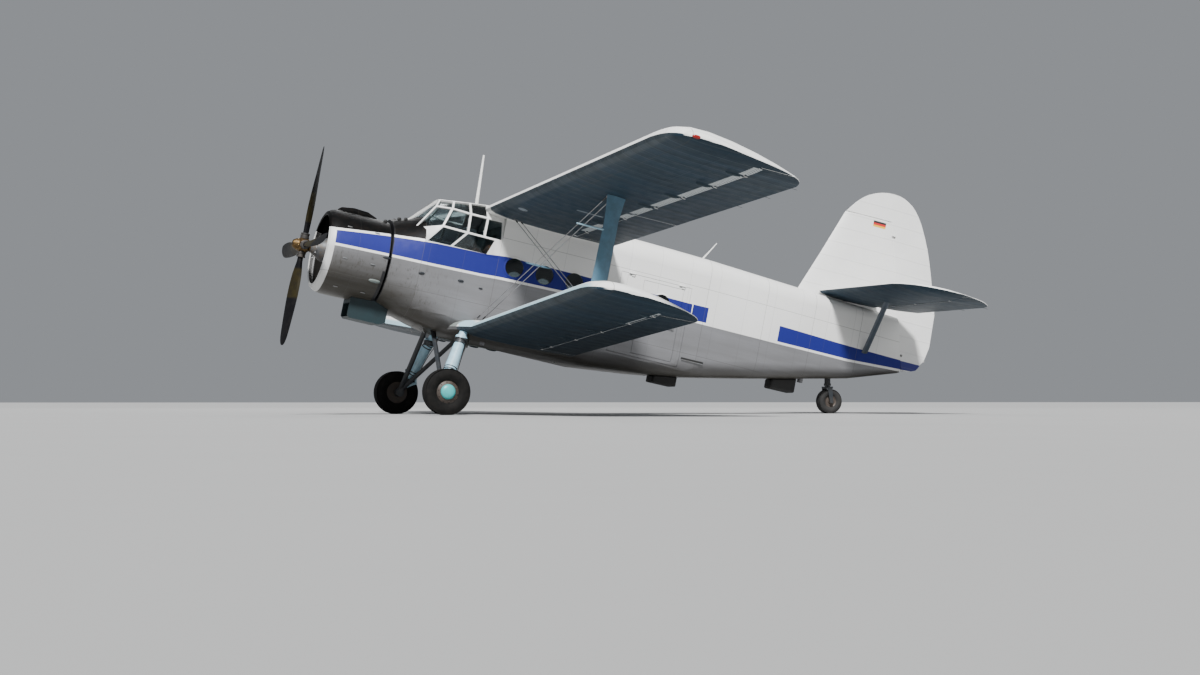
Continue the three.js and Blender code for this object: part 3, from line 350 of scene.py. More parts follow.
def fabric_finish():
    """Doped fabric over ribs: a ridge at each rib, a slack hollow between, white above and sky blue below."""
    f = Finish("wing_fabric", white, Sheen_Weight=0.02, Specular_IOR_Level=0.15)
    ribs = f.y.folded(0.15)
    ridge = ribs.below(0.014, 0.006)
    f.paint = wing_colours(f)
    f.coat(ridge * 0.14, (0.12, 0.13, 0.13))
    slat_joint = abs(f.s - 3.3).below(0.005, 0.003) * abs(f.y).above(1.1)
    f.coat(slat_joint * 0.6, (0.05, 0.05, 0.05))
    f.rough(f.noise(6.0), 0.25, 0.38)
    spars = f.s.seams((3.32, 3.93, 4.52), 0.012)
    f.relief(ridge * 0.9 + spars * 0.4 - ribs * ribs * 30.0 + f.noise(weave_scale, 1.0) * 0.06, 0.004, 0.6)


def fin_finish():
    """Tail white with grey dust, rib ridges and a small plain-striped flag, above the end of the stripe."""
    f = Finish("tail_fabric", white, Sheen_Weight=0.08)
    f.coat(f.noise(1.4).above(0.52, 0.2) * 0.3, (0.6, 0.6, 0.585))
    low, high, stripe = hull_stripe(f)
    f.coat(stripe, cobalt)
    f.coat(f.z.below(low - stripe_edge), (0.5, 0.5, 0.5))
    gold_or_red = f.blend(f.z.above(3.01), (0.75, 0.45, 0.02), (0.55, 0.01, 0.01))
    f.coat(f.s.within(10.88, 11.16) * f.z.within(2.97, 3.09),
           f.blend(f.z.above(3.05), gold_or_red, (0.012, 0.012, 0.012)))
    ribs = f.z.lines(0.3, 0.012, 0.1)
    f.coat(ribs * 0.1, (0.2, 0.2, 0.2))
    f.rough(f.noise(7.0), 0.25, 0.35)
    f.relief(ribs + f.noise(weave_scale, 1.0) * 0.06, 0.004, 0.5)


def canopy_finish():
    """White glazing frames, worn at the edges, with the top of the hull stripe carried along their foot."""
    f = Finish("canopy_paint", (0.78, 0.78, 0.76))
    cloud = f.noise(7.0, 6.0)
    f.coat(cloud.above(0.56, 0.14) * 0.4, (0.52, 0.51, 0.48))
    f.coat((f.z - f.along(f.s, stripe_high)).below(0.0), cobalt)
    f.rough(cloud, 0.25, 0.28)
    f.relief(cloud, 0.002, 0.3)


def glass_finish():
    """Clear grey-green glass with faint smears."""
    f = Finish("window_glass", (0.42, 0.5, 0.52), IOR=1.46, Transmission_Weight=1.0)
    smear = f.noise(3.0)
    f.coat(smear * 0.4, (0.6, 0.66, 0.66))
    f.rough(smear, 0.06, 0.015)


def propeller_finish():
    """Bronze hub, khaki blade roots and black blades with paler scuffs at the leading edges."""
    f = Finish("propeller_paint", (0.005, 0.005, 0.006), Specular_IOR_Level=0.12)
    reach = f.y.distance(f.z)
    cloud = f.noise(8.0, 5.0)
    f.coat(cloud.above(0.6, 0.12) * 0.35, (0.018, 0.016, 0.015))
    root = f.blend(cloud.above(0.5, 0.2) * 0.7, (0.026, 0.021, 0.008), (0.009, 0.008, 0.007))
    f.coat(reach.within(0.42, 0.95, 0.02), root)
    worn = f.noise(26.0, 6.0, 0.7).above(0.5, 0.1) * 0.8
    hub = reach.below(0.16, 0.01)
    f.coat(hub, f.blend(worn, (0.17, 0.105, 0.042), (0.02, 0.016, 0.012)))
    f.put(f.shader["Metallic"], hub * 0.85)
    f.rough(cloud, 0.3, 0.34)
    f.relief(cloud, 0.001, 0.25)


def engine_finish():
    """Dark cast crankcase and oily grey barrels."""
    f = Finish("engine_casting", (0.085, 0.088, 0.092), Metallic=0.35)
    cloud = f.noise(14.0, 6.0, 0.65)
    f.coat(f.y.distance(f.z).above(0.305, 0.01), (0.105, 0.098, 0.09))
    f.coat(cloud.above(0.56, 0.1) * 0.5, (0.15, 0.095, 0.05))
    f.rough(cloud, 0.35, 0.36)
    f.relief(cloud, 0.003, 0.4)


def rust_finish():
    """Heat-blued steel that has gone brown, with a sooty lip."""
    f = Finish("exhaust_steel", (0.2, 0.105, 0.055), Metallic=0.7)
    cloud = f.noise(10.0, 7.0, 0.7)
    f.coat(cloud.above(0.48, 0.12), (0.085, 0.06, 0.05))
    f.coat(f.s.above(1.86, 0.05), (0.012, 0.011, 0.01))
    f.rough(cloud, 0.3, 0.45)
    f.relief(cloud, 0.002, 0.5)


def strut_finish(name, colour, worn_colour):
    """Blue struts with a darker band near the top of the legs and grime at their feet."""
    f = Finish(name, colour, Coat_Weight=0.15)
    cloud = f.noise(7.0, 6.0)
    f.coat(cloud.above(0.56, 0.14) * 0.5, worn_colour)
    f.coat(f.z.within(-1.16, -1.06, 0.004) * f.s.within(2.7, 3.1), (0.035, 0.04, 0.045))
    f.coat(f.z.below(-1.75, 0.2) * cloud * 0.8, grime)
    f.rough(cloud, 0.25, 0.28)
    f.relief(cloud, 0.001, 0.3)


def rubber_finish():
    """Black rubber, dusty grey on the tread, with fine circles on the sidewall."""
    f = Finish("tyre_rubber", (0.006, 0.006, 0.006), Specular_IOR_Level=0.1)
    reach = (f.s - wheel["s"]).distance(f.z - wheel["z"])
    dust = f.noise(12.0, 5.0)
    f.coat(dust.above(0.5, 0.2) * 0.45, (0.022, 0.02, 0.018))
    f.rough(dust, 0.2, 0.68)
    f.relief(reach.lines(0.024, 0.002) + dust * 0.3, 0.003, 0.5)


def leather_finish():
    """Grained hide: small cells with creases, worn paler where it is sat on."""
    f = Finish("seat_leather", (0.23, 0.085, 0.035))
    cells = f.node("ShaderNodeTexVoronoi", feature="DISTANCE_TO_EDGE")
    f.links.new(f.level, cells.inputs["Vector"])
    cells.inputs["Scale"].default_value = 260.0
    wear = f.noise(9.0)
    f.coat(wear.above(0.52, 0.15) * 0.6, (0.33, 0.15, 0.07))
    f.rough(wear, 0.3, 0.32)
    f.relief(Field(f, cells.outputs["Distance"]) * 2.0 + wear * 0.4, 0.001, 0.6)


def floorboard_finish():
    """Ribbed metal cabin floor and walls, scuffed."""
    f = Finish("cabin_metal", (0.2, 0.23, 0.22), Metallic=0.2)
    cloud = f.noise(8.0, 6.0)
    f.coat(cloud.above(0.5, 0.15) * 0.6, (0.1, 0.11, 0.105))
    f.rough(cloud, 0.3, 0.4)
    f.relief(f.y.lines(0.05, 0.006) + cloud * 0.5, 0.003, 0.5)


def dial_finish():
    """Dark dial faces with pale tick marks: each face has its own small circle of marks."""
    f = Finish("dial_face", (0.012, 0.012, 0.013), Roughness=0.25)
    y = (f.y - 0.05).folded(0.055)
    z = (f.z - 0.4).folded(0.06)
    ticks = f.math("ARCTAN2", z, y).folded(0.1309).below(0.02, 0.01)
    f.coat(ticks * y.distance(z).within(0.026, 0.034), (0.7, 0.7, 0.64))
    f.relief(f.noise(80.0), 0.0005, 0.2)


def painted(name, colour, worn_colour, roughness, scale=6.0, metallic=0.0):
    """One paint with cloudy wear towards a second colour and an uneven sheen."""
    f = Finish(name, colour, Metallic=metallic)
    cloud = f.noise(scale, 6.0, 0.62)
    f.coat(cloud.above(0.55, 0.14) * 0.5, worn_colour)
    f.rough(cloud, 0.25, roughness - 0.12)
    f.relief(f.noise(scale * 9, 3.0) * 0.6 + cloud, 0.002, 0.3)


hull_finish()
fabric_finish()
fin_finish()
glass_finish()
canopy_finish()
strut_finish("strut_paint", (0.35, 0.56, 0.68), (0.24, 0.31, 0.33))
# The next two are the legs' pale blue strut paint darkened for the tail and interplane struts: painted shade
strut_finish("shaded_strut_grey", (0.06, 0.078, 0.1), (0.035, 0.045, 0.055))
strut_finish("shaded_strut_blue", (0.075, 0.165, 0.235), (0.05, 0.09, 0.12))
rubber_finish()
propeller_finish()
engine_finish()
rust_finish()
floorboard_finish()
leather_finish()
dial_finish()

# Plain paints: colour, worn colour, roughness, and where it isn't the usual, scale of the wear and metallic
paints = {
    # The hinge fairings' wing-underside blue, darkened as painted shade
    "shaded_underside_paint": ((0.022, 0.045, 0.06), (0.012, 0.02, 0.024), 0.55),
    "frame_white": ((0.78, 0.78, 0.76), (0.5, 0.49, 0.46), 0.4),
    "cooler_teal": ((0.007, 0.023, 0.028), (0.006, 0.012, 0.014), 0.5),
    "hub_turquoise": ((0.05, 0.42, 0.42), (0.03, 0.2, 0.2), 0.38),
    "dark_metal": ((0.05, 0.05, 0.05), (0.09, 0.07, 0.055), 0.5, 6.0, 0.5),
    "stay_steel": ((0.3, 0.31, 0.32), (0.16, 0.13, 0.1), 0.35, 6.0, 0.8),
    "gold_metal": ((0.5, 0.34, 0.13), (0.24, 0.17, 0.08), 0.3, 16.0, 0.9),
    "panel_black": ((0.025, 0.026, 0.028), (0.05, 0.048, 0.045), 0.55),
    "box_black": ((0.009, 0.009, 0.009), (0.02, 0.018, 0.016), 0.6),
    "tail_wheel_rubber": ((0.01, 0.01, 0.01), (0.036, 0.033, 0.03), 0.85),
    "wheel_dark": ((0.05, 0.04, 0.034), (0.085, 0.058, 0.042), 0.55, 12.0, 0.2),
    "brace_dark": ((0.015, 0.019, 0.024), (0.045, 0.04, 0.034), 0.5, 9.0),
    "bench_grey": ((0.16, 0.19, 0.18), (0.09, 0.1, 0.095), 0.5, 9.0),
    "lamp_red": ((0.3, 0.008, 0.006), (0.16, 0.006, 0.005), 0.16, 20.0),
    "lamp_green": ((0.01, 0.36, 0.1), (0.01, 0.2, 0.06), 0.16, 20.0),
    "lamp_clear": ((0.82, 0.82, 0.8), (0.66, 0.66, 0.64), 0.14, 20.0),
    "studio_grey": ((0.33, 0.33, 0.327), (0.32, 0.32, 0.317), 0.85, 0.4),
}
for name, row in paints.items():
    painted(name, *row)

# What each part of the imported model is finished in, with left and right alike
coverings = {
    "hull_paint": "engine_cowl nose_section belly wall roof tail_cone cargo_door crew_door",
    "wing_fabric": "upper_wing upper_flap aileron lower_wing lower_flap stabilizer elevator",
    "tail_fabric": "fin rudder",
    "canopy_paint": "cockpit_frames",
    "window_glass": "cockpit_glass",
    "propeller_paint": "propeller",
    "engine_casting": "engine",
    "exhaust_steel": "exhaust_pipe",
    "cooler_teal": "oil_cooler_duct",
    "cabin_metal": "cabin_bulkhead",
    "panel_black": "instrument_panel",
    "seat_leather": "pilot_seat",
    "frame_white": "mast_aerial",
    "box_black": "belly_box_front belly_box_rear",
    "shaded_strut_blue": "interplane_strut",
    "shaded_strut_grey": "tail_strut",
    "strut_paint": "oleo_leg",
    "stay_steel": "flying_wires landing_wires",
    "brace_dark": "axle_brace tail_leg tail_fork",
    "wheel_dark": "main_hub",
    "tyre_rubber": "main_tyre",
    "tail_wheel_rubber": "tail_wheel",
}
finish_of = {kind: finish for finish, kinds in coverings.items() for kind in kinds.split()}


def smooth_by_angle(weld, limit):
    """Node group that joins loose triangles and shades them smooth, but not over edges past the limit."""
    group = bpy.data.node_groups.new("smooth_edges", "GeometryNodeTree")
    group.interface.new_socket("Geometry", in_out="INPUT", socket_type="NodeSocketGeometry")
    group.interface.new_socket("Geometry", in_out="OUTPUT", socket_type="NodeSocketGeometry")
    start, merge, soft, crisp, angle, sharper, end = [group.nodes.new(kind) for kind in (
        "NodeGroupInput", "GeometryNodeMergeByDistance", "GeometryNodeSetShadeSmooth",
        "GeometryNodeSetShadeSmooth", "GeometryNodeInputMeshEdgeAngle", "FunctionNodeCompare",
        "NodeGroupOutput")]
    merge.inputs["Distance"].default_value = weld
    soft.domain = "FACE"
    sharper.inputs[1].default_value = limit
    crisp.domain = "EDGE"
    crisp.inputs["Shade Smooth"].default_value = False
    for out, into in ((start.outputs[0], merge.inputs["Geometry"]),
                      (merge.outputs[0], soft.inputs["Geometry"]),
                      (soft.outputs[0], crisp.inputs["Geometry"]),
                      (crisp.outputs[0], end.inputs[0]),
                      (angle.outputs["Unsigned Angle"], sharper.inputs[0]),
                      (sharper.outputs[0], crisp.inputs["Selection"])):
        group.links.new(out, into)
    return group


smooth_edges = smooth_by_angle(0.00005, math.radians(27))
for name, item in nodes.items():
    item.data.materials.clear()
    item.data.materials.append(finishes[finish_of[name.removesuffix("_left").removesuffix("_right")]])
    if name != "cockpit_glass":
        item.modifiers.new("smooth_edges", "NODES").node_group = smooth_edges
    if name.startswith("belly_box"):
        soft_edges = item.modifiers.new("soft_edges", "BEVEL")
        soft_edges.width = 0.035
        soft_edges.segments = 3

# Half width of the fuselage's flat side at places along it
hull_widths = np.array([(1.75, 0.8), (2.2, 0.85), (2.6, 0.88), (3.3, 0.9), (5.4, 0.88), (6.6, 0.86),
                        (7.42, 0.815)])
# Wing section aft of its nose: share of the chord, height of the top and of the underside
camber = np.array([(0.15, 0.093, -0.035), (0.3, 0.103, -0.037), (0.5, 0.092, -0.032), (0.69, 0.069, -0.022),
                   (0.85, 0.04, -0.012), (1.00, 0.0035, -0.0035)])
wings = {
    "upper": {"base": 1.27, "tilt": 2.8, "incidence": 3.0, "front": 2.95, "rear": 5.35},
    "lower": {"base": -0.965, "tilt": 4.5, "incidence": 1.0, "front": 2.95, "rear": 4.995},
}
cowl_radius = 0.7605
window_height = 0.38
seat_side = 0.43


def hull_side(s):
    """The half width at a place, straight between the listed ones."""
    return float(np.interp(s, hull_widths[:, 0], hull_widths[:, 1]))


def on_wing(wing, s, y, column):
    """Height of a wing's skin: base + y tan(tilt) - (s - nose) tan(incidence) + section height x chord."""
    w = wings[wing]
    chord = w["rear"] - w["front"]
    height = np.interp((s - w["front"]) / chord, camber[:, 0], camber[:, column]) * chord
    rise = abs(y) * math.tan(math.radians(w["tilt"]))
    return w["base"] + rise - (s - w["front"]) * math.tan(math.radians(w["incidence"])) + height


# Shapes
def unit(vector):
    """The vector over its own length."""
    vector = np.asarray(vector, float)
    return vector / np.linalg.norm(vector, axis=-1, keepdims=True)


def grid_faces(rows, columns, wrap_rows, wrap_columns, start):
    """Four-sided faces between neighbouring rows and columns, which may close on themselves."""
    r = np.arange(rows if wrap_rows else rows - 1)[:, None]
    c = np.arange(columns if wrap_columns else columns - 1)[None, :]
    next_r = (r + 1) % rows
    next_c = (c + 1) % columns
    corners = [r * columns + c, r * columns + next_c, next_r * columns + next_c, next_r * columns + c]
    return (np.stack(corners, axis=-1).reshape(-1, 4) + start).tolist()


def shape(name, surfaces, finish, body="airframe", crease=35.0):
    """One mesh from grids of level points; each surface is (grid, rows close, columns close, ends capped)."""
    points, faces, start = [], [], 0
    for grid, wrap_rows, wrap_columns, capped in surfaces:
        rows, columns = grid.shape[:2]
        faces += grid_faces(rows, columns, wrap_rows, wrap_columns, start)
        if capped:
            faces.append(list(range(start, start + columns)))
            faces.append(list(range(start + (rows - 1) * columns, start + rows * columns)))
        points.append(stand(grid.reshape(-1, 3)))
        start += rows * columns
    mesh = bpy.data.meshes.new(name)
    mesh.from_pydata(np.concatenate(points).tolist(), [], faces)
    turned_out = bmesh.new()
    turned_out.from_mesh(mesh)
    bmesh.ops.recalc_face_normals(turned_out, faces=turned_out.faces[:])
    turned_out.to_mesh(mesh)
    turned_out.free()
    mesh.shade_smooth()
    mesh.set_sharp_from_angle(angle=math.radians(crease))
    mesh.materials.append(finishes[finish])
    item = bpy.data.objects.new(name, mesh)
    bpy.context.collection.objects.link(item)
    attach(item, body)
    return item


def around(count, first=0.0):
    """Evenly spaced angles of one full turn."""
    return np.linspace(first, first + 2 * np.pi, count, endpoint=False)


def spot(angle, s, reach, aside=0.0):
    """A point at s, a reach out from the thrust line at an angle from the top, and moved aside round it."""
    return np.array([s, reach * math.sin(angle) + aside * math.cos(angle),
                     reach * math.cos(angle) - aside * math.sin(angle)])


def square_to(axis):
    """Two directions square to the axis and to each other."""
    spare = np.array([0.0, 0.0, 1.0]) if abs(axis[2]) < 0.9 else np.array([1.0, 0.0, 0.0])
    first = unit(np.cross(axis, spare))
    return first, np.cross(axis, first)


def loop_round(centre, axis, radius, count):
    """Points of a circle: centre + radius x (cosine of the angle x one spoke + sine x the other)."""
    first, second = square_to(unit(axis))
    angle = around(count)[:, None]
    return np.array(centre, float) + radius * (np.cos(angle) * first + np.sin(angle) * second)


def turned(centre, axis, profile, segments=24):
    """A profile of (distance along the axis, radius) rows carried round the axis."""
    spoke = loop_round((0, 0, 0), axis, 1.0, segments)
    rows = np.array(profile, float)
    grid = np.array(centre, float) + rows[:, None, :1] * unit(axis) + rows[:, None, 1:] * spoke
    return grid, False, True, True


def hoop(centre, axis, profile, segments=24):
    """A profile that closes on itself, carried round the axis, so that it needs no caps."""
    return turned(centre, axis, profile, segments)[0], True, True, False


def circle(radius, count):
    """Section of a round rod: radius x cosine and radius x sine of the angle."""
    angle = around(count)
    return radius * np.stack([np.cos(angle), np.sin(angle)], axis=-1)


def bar(width, height, soft=0.3):
    """Flat bar section: a rectangle with its corners cut by a share of the smaller side."""
    w, h = width / 2, height / 2
    k = min(w, h) * soft
    corner = [(-w, -h + k), (-w + k, -h), (w - k, -h), (w, -h + k)]
    return np.array(corner + [(-x, -y) for x, y in corner])


def carried(path, section, up=upward, closed=False, sizes=None):
    """A section of (side, lift) offsets carried along the path, square to it, and scaled by the sizes."""
    path = np.array(path, float)
    if closed:
        along = np.roll(path, -1, axis=0) - np.roll(path, 1, axis=0)
    else:
        along = np.gradient(path, axis=0)
    side = unit(np.cross(along, np.broadcast_to(np.array(up, float), along.shape)))
    lift = unit(np.cross(side, along))
    scale = np.ones(len(path)) if sizes is None else np.array(sizes, float)
    grid = (path[:, None] + side[:, None] * section[None, :, :1] * scale[:, None, None]
            + lift[:, None] * section[None, :, 1:] * scale[:, None, None])
    return grid, closed, True, not closed


def rod(path, radius, up=upward, sides=8, **more):
    """A round section of the given radius carried along the path."""
    return carried(path, circle(radius, sides), up, **more)


def straight(a, b, count=2):
    """Evenly spaced points from one end to the other."""
    return np.linspace(np.array(a, float), np.array(b, float), count)


def bent(points, count=24):
    """A smooth path through the points: each piece is a cubic that shares its slope with its neighbours."""
    p = np.array(points, float)
    p = np.vstack([2 * p[0] - p[1], p, 2 * p[-1] - p[-2]])
    t = np.linspace(0, len(p) - 3, count, endpoint=True)
    k = np.minimum(t.astype(int), len(p) - 4)
    u = (t - k)[:, None]
    a, b, c, d = p[k], p[k + 1], p[k + 2], p[k + 3]
    curve = (2 * a - 5 * b + 4 * c - d) * u ** 2 + (3 * b - a - 3 * c + d) * u ** 3
    return 0.5 * (2 * b + (c - a) * u + curve)


def squared_off(value, power):
    """The value's size raised to a power below one, with its sign kept."""
    return np.sign(value) * np.abs(value) ** power


def rounded(centre, half, power, rows, columns, axes=(aft, port, upward)):
    """A rounded block: half sizes x cosines and sines of two angles, raised to a power to square it off."""
    v = np.linspace(-np.pi / 2 + 0.02, np.pi / 2 - 0.02, rows)[:, None]
    u = around(columns)[None, :]
    ring = squared_off(np.cos(v), power)
    local = np.stack([half[0] * ring * squared_off(np.cos(u), power),
                      half[1] * ring * squared_off(np.sin(u), power),
                      half[2] * squared_off(np.sin(v), power) * np.ones_like(u)], axis=-1)
    return np.array(centre, float) + local @ np.array([unit(a) for a in axes]), False, True, True


def radial_block(angle, s, reach, half, power, rows, columns, aside=0.0):
    """A rounded block that lies along the aircraft and faces out from the thrust line."""
    axes = (aft, spot(angle, 0, 0, 1), spot(angle, 0, 1))
    return rounded(spot(angle, s, reach, aside), half, power, rows, columns, axes)


def dome(centre, axis, radius, height, segments=10):
    """A low button: radius falls from full to nothing as the height follows a quarter wave."""
    rise = np.linspace(0, np.pi / 2, 4)
    rows = [(-0.002, radius), *zip(height * np.sin(rise), radius * np.cos(rise * 0.98))]
    return turned(centre, axis, rows, segments)


# Engine: finned barrels and heads, pushrods, rocker covers, and leads from the ignition ring
barrel = [(d + o, r) for d in np.arange(0.32, 0.53, 0.0135)
          for o, r in ((0, 0.087), (0.002, 0.11), (0.005, 0.11), (0.007, 0.087))]
head = [(d + o, r * (1 - 0.9 * (d - 0.54))) for d in np.arange(0.542, 0.672, 0.0145)
        for o, r in ((0, 0.124), (0.002, 0.142), (0.006, 0.142), (0.008, 0.124))]
rod_points = ((0.545, 0.285, 0.032), (0.715, 0.64, 0.062))
lead_points = ((0.49, 0.325, 0.02), (0.53, 0.4, 0.05), (0.6, 0.5, 0.095), (0.69, 0.585, 0.118))
fins = []
rods = []
boxes = []
leads = []
for angle in around(9):
    out = spot(angle, 0, 1)
    side = spot(angle, 0, 0, 1)
    fins.append(turned((0.8, 0, 0), out, barrel + head + [(0.69, 0.085)], 22))
    for way in (-1, 1):
        foot, top = (spot(angle, s, reach, way * aside) for s, reach, aside in rod_points)
        rods.append(rod(straight(foot, top, 3), 0.014, side))
        boxes.append(radial_block(angle, 0.735 + 0.02 * way, 0.662, (0.06, 0.03, 0.034), 0.6, 8, 14,
                                  way * 0.062))
        path = bent([spot(angle, s, reach, way * aside) for s, reach, aside in lead_points], 12)
        leads.append(rod(path, 0.007, side, 6))
leads.append(rod(loop_round((0.49, 0, 0), aft, 0.322, 54), 0.015, aft, 10, closed=True))
shape("cylinder_fins", fins, "engine_casting")
shape("pushrod_tubes", rods, "dark_metal")
shape("rocker_covers", boxes, "engine_casting")
shape("ignition_harness", leads, "brace_dark")
case_bolts = [dome(spot(a, 0.207, 0.175), ahead, 0.012, 0.014) for a in around(12)]
shape("nose_case_bolts", case_bolts, "stay_steel")

# Propeller hub: split collars round the blade roots, bolts and the dome cap
collar = [(0.112, 0.066), (0.116, 0.078), (0.15, 0.08), (0.154, 0.072), (0.19, 0.072), (0.194, 0.079),
          (0.214, 0.079), (0.219, 0.06)]
collars = []
for angle in around(4):
    collars.append(turned((0, 0, 0), spot(angle, 0, 1), collar, 28))
    for way in (-1, 1):
        collars.append(dome(spot(angle, -0.074, 0.172, way * 0.028), ahead, 0.011, 0.012, 8))
shape("blade_collars", collars, "dark_metal", "propeller")
cap_bolts = [dome(spot(a, -0.1, 0.099), spot(a, -0.6, 0.8), 0.009, 0.01, 8) for a in around(8, 0.2)]
shape("hub_cap_bolts", cap_bolts, "gold_metal", "propeller")

# Oil cooler core
core_s = 1.2
core = [carried(straight((core_s, y, -1.05), (core_s, y, -0.83)), bar(0.002, 0.09), aft)
        for y in np.linspace(-0.205, 0.205, 34)]
core += [carried(straight((core_s, -0.222, z), (core_s, 0.222, z)), bar(0.01, 0.07), aft)
         for z in np.linspace(-1.035, -0.845, 8)]
shape("oil_cooler_core", core, "dark_metal")

# Cowl latches
latches = [radial_block(math.radians(a), s, cowl_radius, (0.045, 0.011, 0.006), 0.5, 6, 14)
           for a in (55, 100, 145, 215, 260, 305) for s in (0.62, 1.12)]
shape("cowl_latches", latches, "stay_steel")


# Round windows: a rubber-seated rim outside and in, and a slightly domed pane
def porthole(name, s, way, body="airframe"):
    """Both are profiles carried round the line that runs out through the middle of the window."""
    centre = (s, way * hull_side(s), window_height)
    out = (0, way, 0)
    rim = [(-0.066, 0.172), (-0.066, 0.196), (-0.061, 0.198), (-0.061, 0.1785), (0.001, 0.1785),
           (0.001, 0.203), (0.006, 0.206), (0.011, 0.198), (0.011, 0.176), (0.004, 0.17), (-0.02, 0.17)]
    shape(name + "_rim", [hoop(centre, out, rim, 48)], "hull_paint", body)
    pane = [(-0.018, 0.1775), (-0.006, 0.1775), (-0.004, 0.12), (-0.003, 0.06), (-0.003, 0.002),
            (-0.007, 0.002), (-0.007, 0.06), (-0.008, 0.12), (-0.01, 0.166), (-0.018, 0.17)]
    shape(name + "_pane", [hoop(centre, out, pane, 48)], "window_glass", body)


window_places = (3.62, 4.2, 4.78, 5.36, 5.94)
for index, s in enumerate(window_places[:4]):
    porthole(f"window_port_{index + 1}", s, 1)
for index, s in enumerate(window_places):
    porthole(f"window_starboard_{index + 1}", s, -1)
porthole("window_door", 6.52, 1, "crew_door")


# Door handles, boarding slot and grab rail on the port side
def handle(body, name, s, z):
    """A profile turned into a round plate, and a flat bar carried along a bend that tapers to its end."""
    y = hull_side(s)
    plate = turned((s, y - 0.002, z), port, [(0, 0.034), (0.004, 0.034), (0.007, 0.028), (0.01, 0.012),
                                             (0.03, 0.011), (0.034, 0.008)])
    path = bent([(s, y + 0.028, z), (s - 0.05, y + 0.033, z - 0.002), (s - 0.115, y + 0.026, z - 0.008)], 10)
    shape(name, [plate, carried(path, bar(0.022, 0.009), port, sizes=np.linspace(1.0, 0.6, 10))],
          "stay_steel", body)


handle("crew_door", "crew_door_handle", 6.84, -0.02)
handle("cargo_door", "cargo_door_handle_front", 5.74, -0.05)
# The boarding slot is a black strip on the skin: painted shade for the recess
slot_path = straight((7.12, 0.838, -0.5), (7.58, 0.808, -0.5), 6)
shape("boarding_slot", [carried(slot_path, bar(0.012, 0.03))], "box_black")
lip_path = straight((7.13, 0.834, -0.525), (7.57, 0.804, -0.525), 6)
shape("boarding_slot_lip", [carried(lip_path, bar(0.01, 0.016))], "stay_steel")
grab = [(0.832, 0.2), (0.868, 0.22), (0.872, 0.36), (0.868, 0.5), (0.832, 0.52)]
shape("grab_rail", [rod(bent([(7.14, y, z) for y, z in grab], 20), 0.01, aft, 10)], "frame_white")

# Scoops low on the nose side, blisters and bulges of the cowl, drain pipes and lifting eyes
scoops = [rounded((s, way * (hull_side(s) + 0.003), z), np.array([0.055, 0.02, 0.022]) * size, 0.7, 10, 18)
          for way in (-1, 1) for s, z, size in ((1.99, -0.09, 1.0), (2.7, -0.07, 1.0), (3.08, -0.12, 0.7))]
shape("side_scoops", scoops, "brace_dark")
blisters = [rounded(spot(math.radians(a), 1.34, 0.748), (0.075, 0.02, 0.02), 0.8, 10, 18) for a in (87, 273)]
shape("cowl_blisters", blisters, "brace_dark")
bulges = [radial_block(math.radians(a), 1.235, 0.752, (0.105, 0.034, 0.022), 0.8, 12, 22) for a in (122, 238)]
shape("cowl_bulges", bulges, "bench_grey")
drains = [rod(bent([(s, y, -0.96), (s + 0.01, y, -1.02), (s + 0.05, y, -1.055)], 10), 0.009, port)
          for s, y in ((2.3, 0.3), (2.36, 0.26), (2.3, -0.3), (4.9, 0.2))]
shape("drain_pipes", drains, "stay_steel")
eyes = [rounded((s, way * y, z), (0.035, 0.016, 0.034), 0.7, 8, 14) for way in (-1, 1)
        for s, y, z in ((1.315, 0.2, 0.735), (1.56, 0.16, 0.842), (1.66, 0.24, 0.852))]
shape("deck_eyes", eyes, "box_black")

# Raked whip aerial and the foot of the mast
whip = carried(bent([(7.46, 0, 1.445), (7.6, 0, 1.66), (7.74, 0, 1.88)], 12), bar(0.034, 0.016), port,
               sizes=np.linspace(1.0, 0.45, 12))
whip_foot = rounded((7.465, 0, 1.458), (0.06, 0.03, 0.016), 0.6, 8, 20)
shape("whip_aerial", [whip, whip_foot], "frame_white")
mast_foot = [(-0.03, 0.05), (0.01, 0.05), (0.02, 0.04), (0.055, 0.032), (0.06, 0.02)]
shape("mast_foot", [turned((2.953, 0, 1.4), upward, mast_foot, 20)], "box_black")

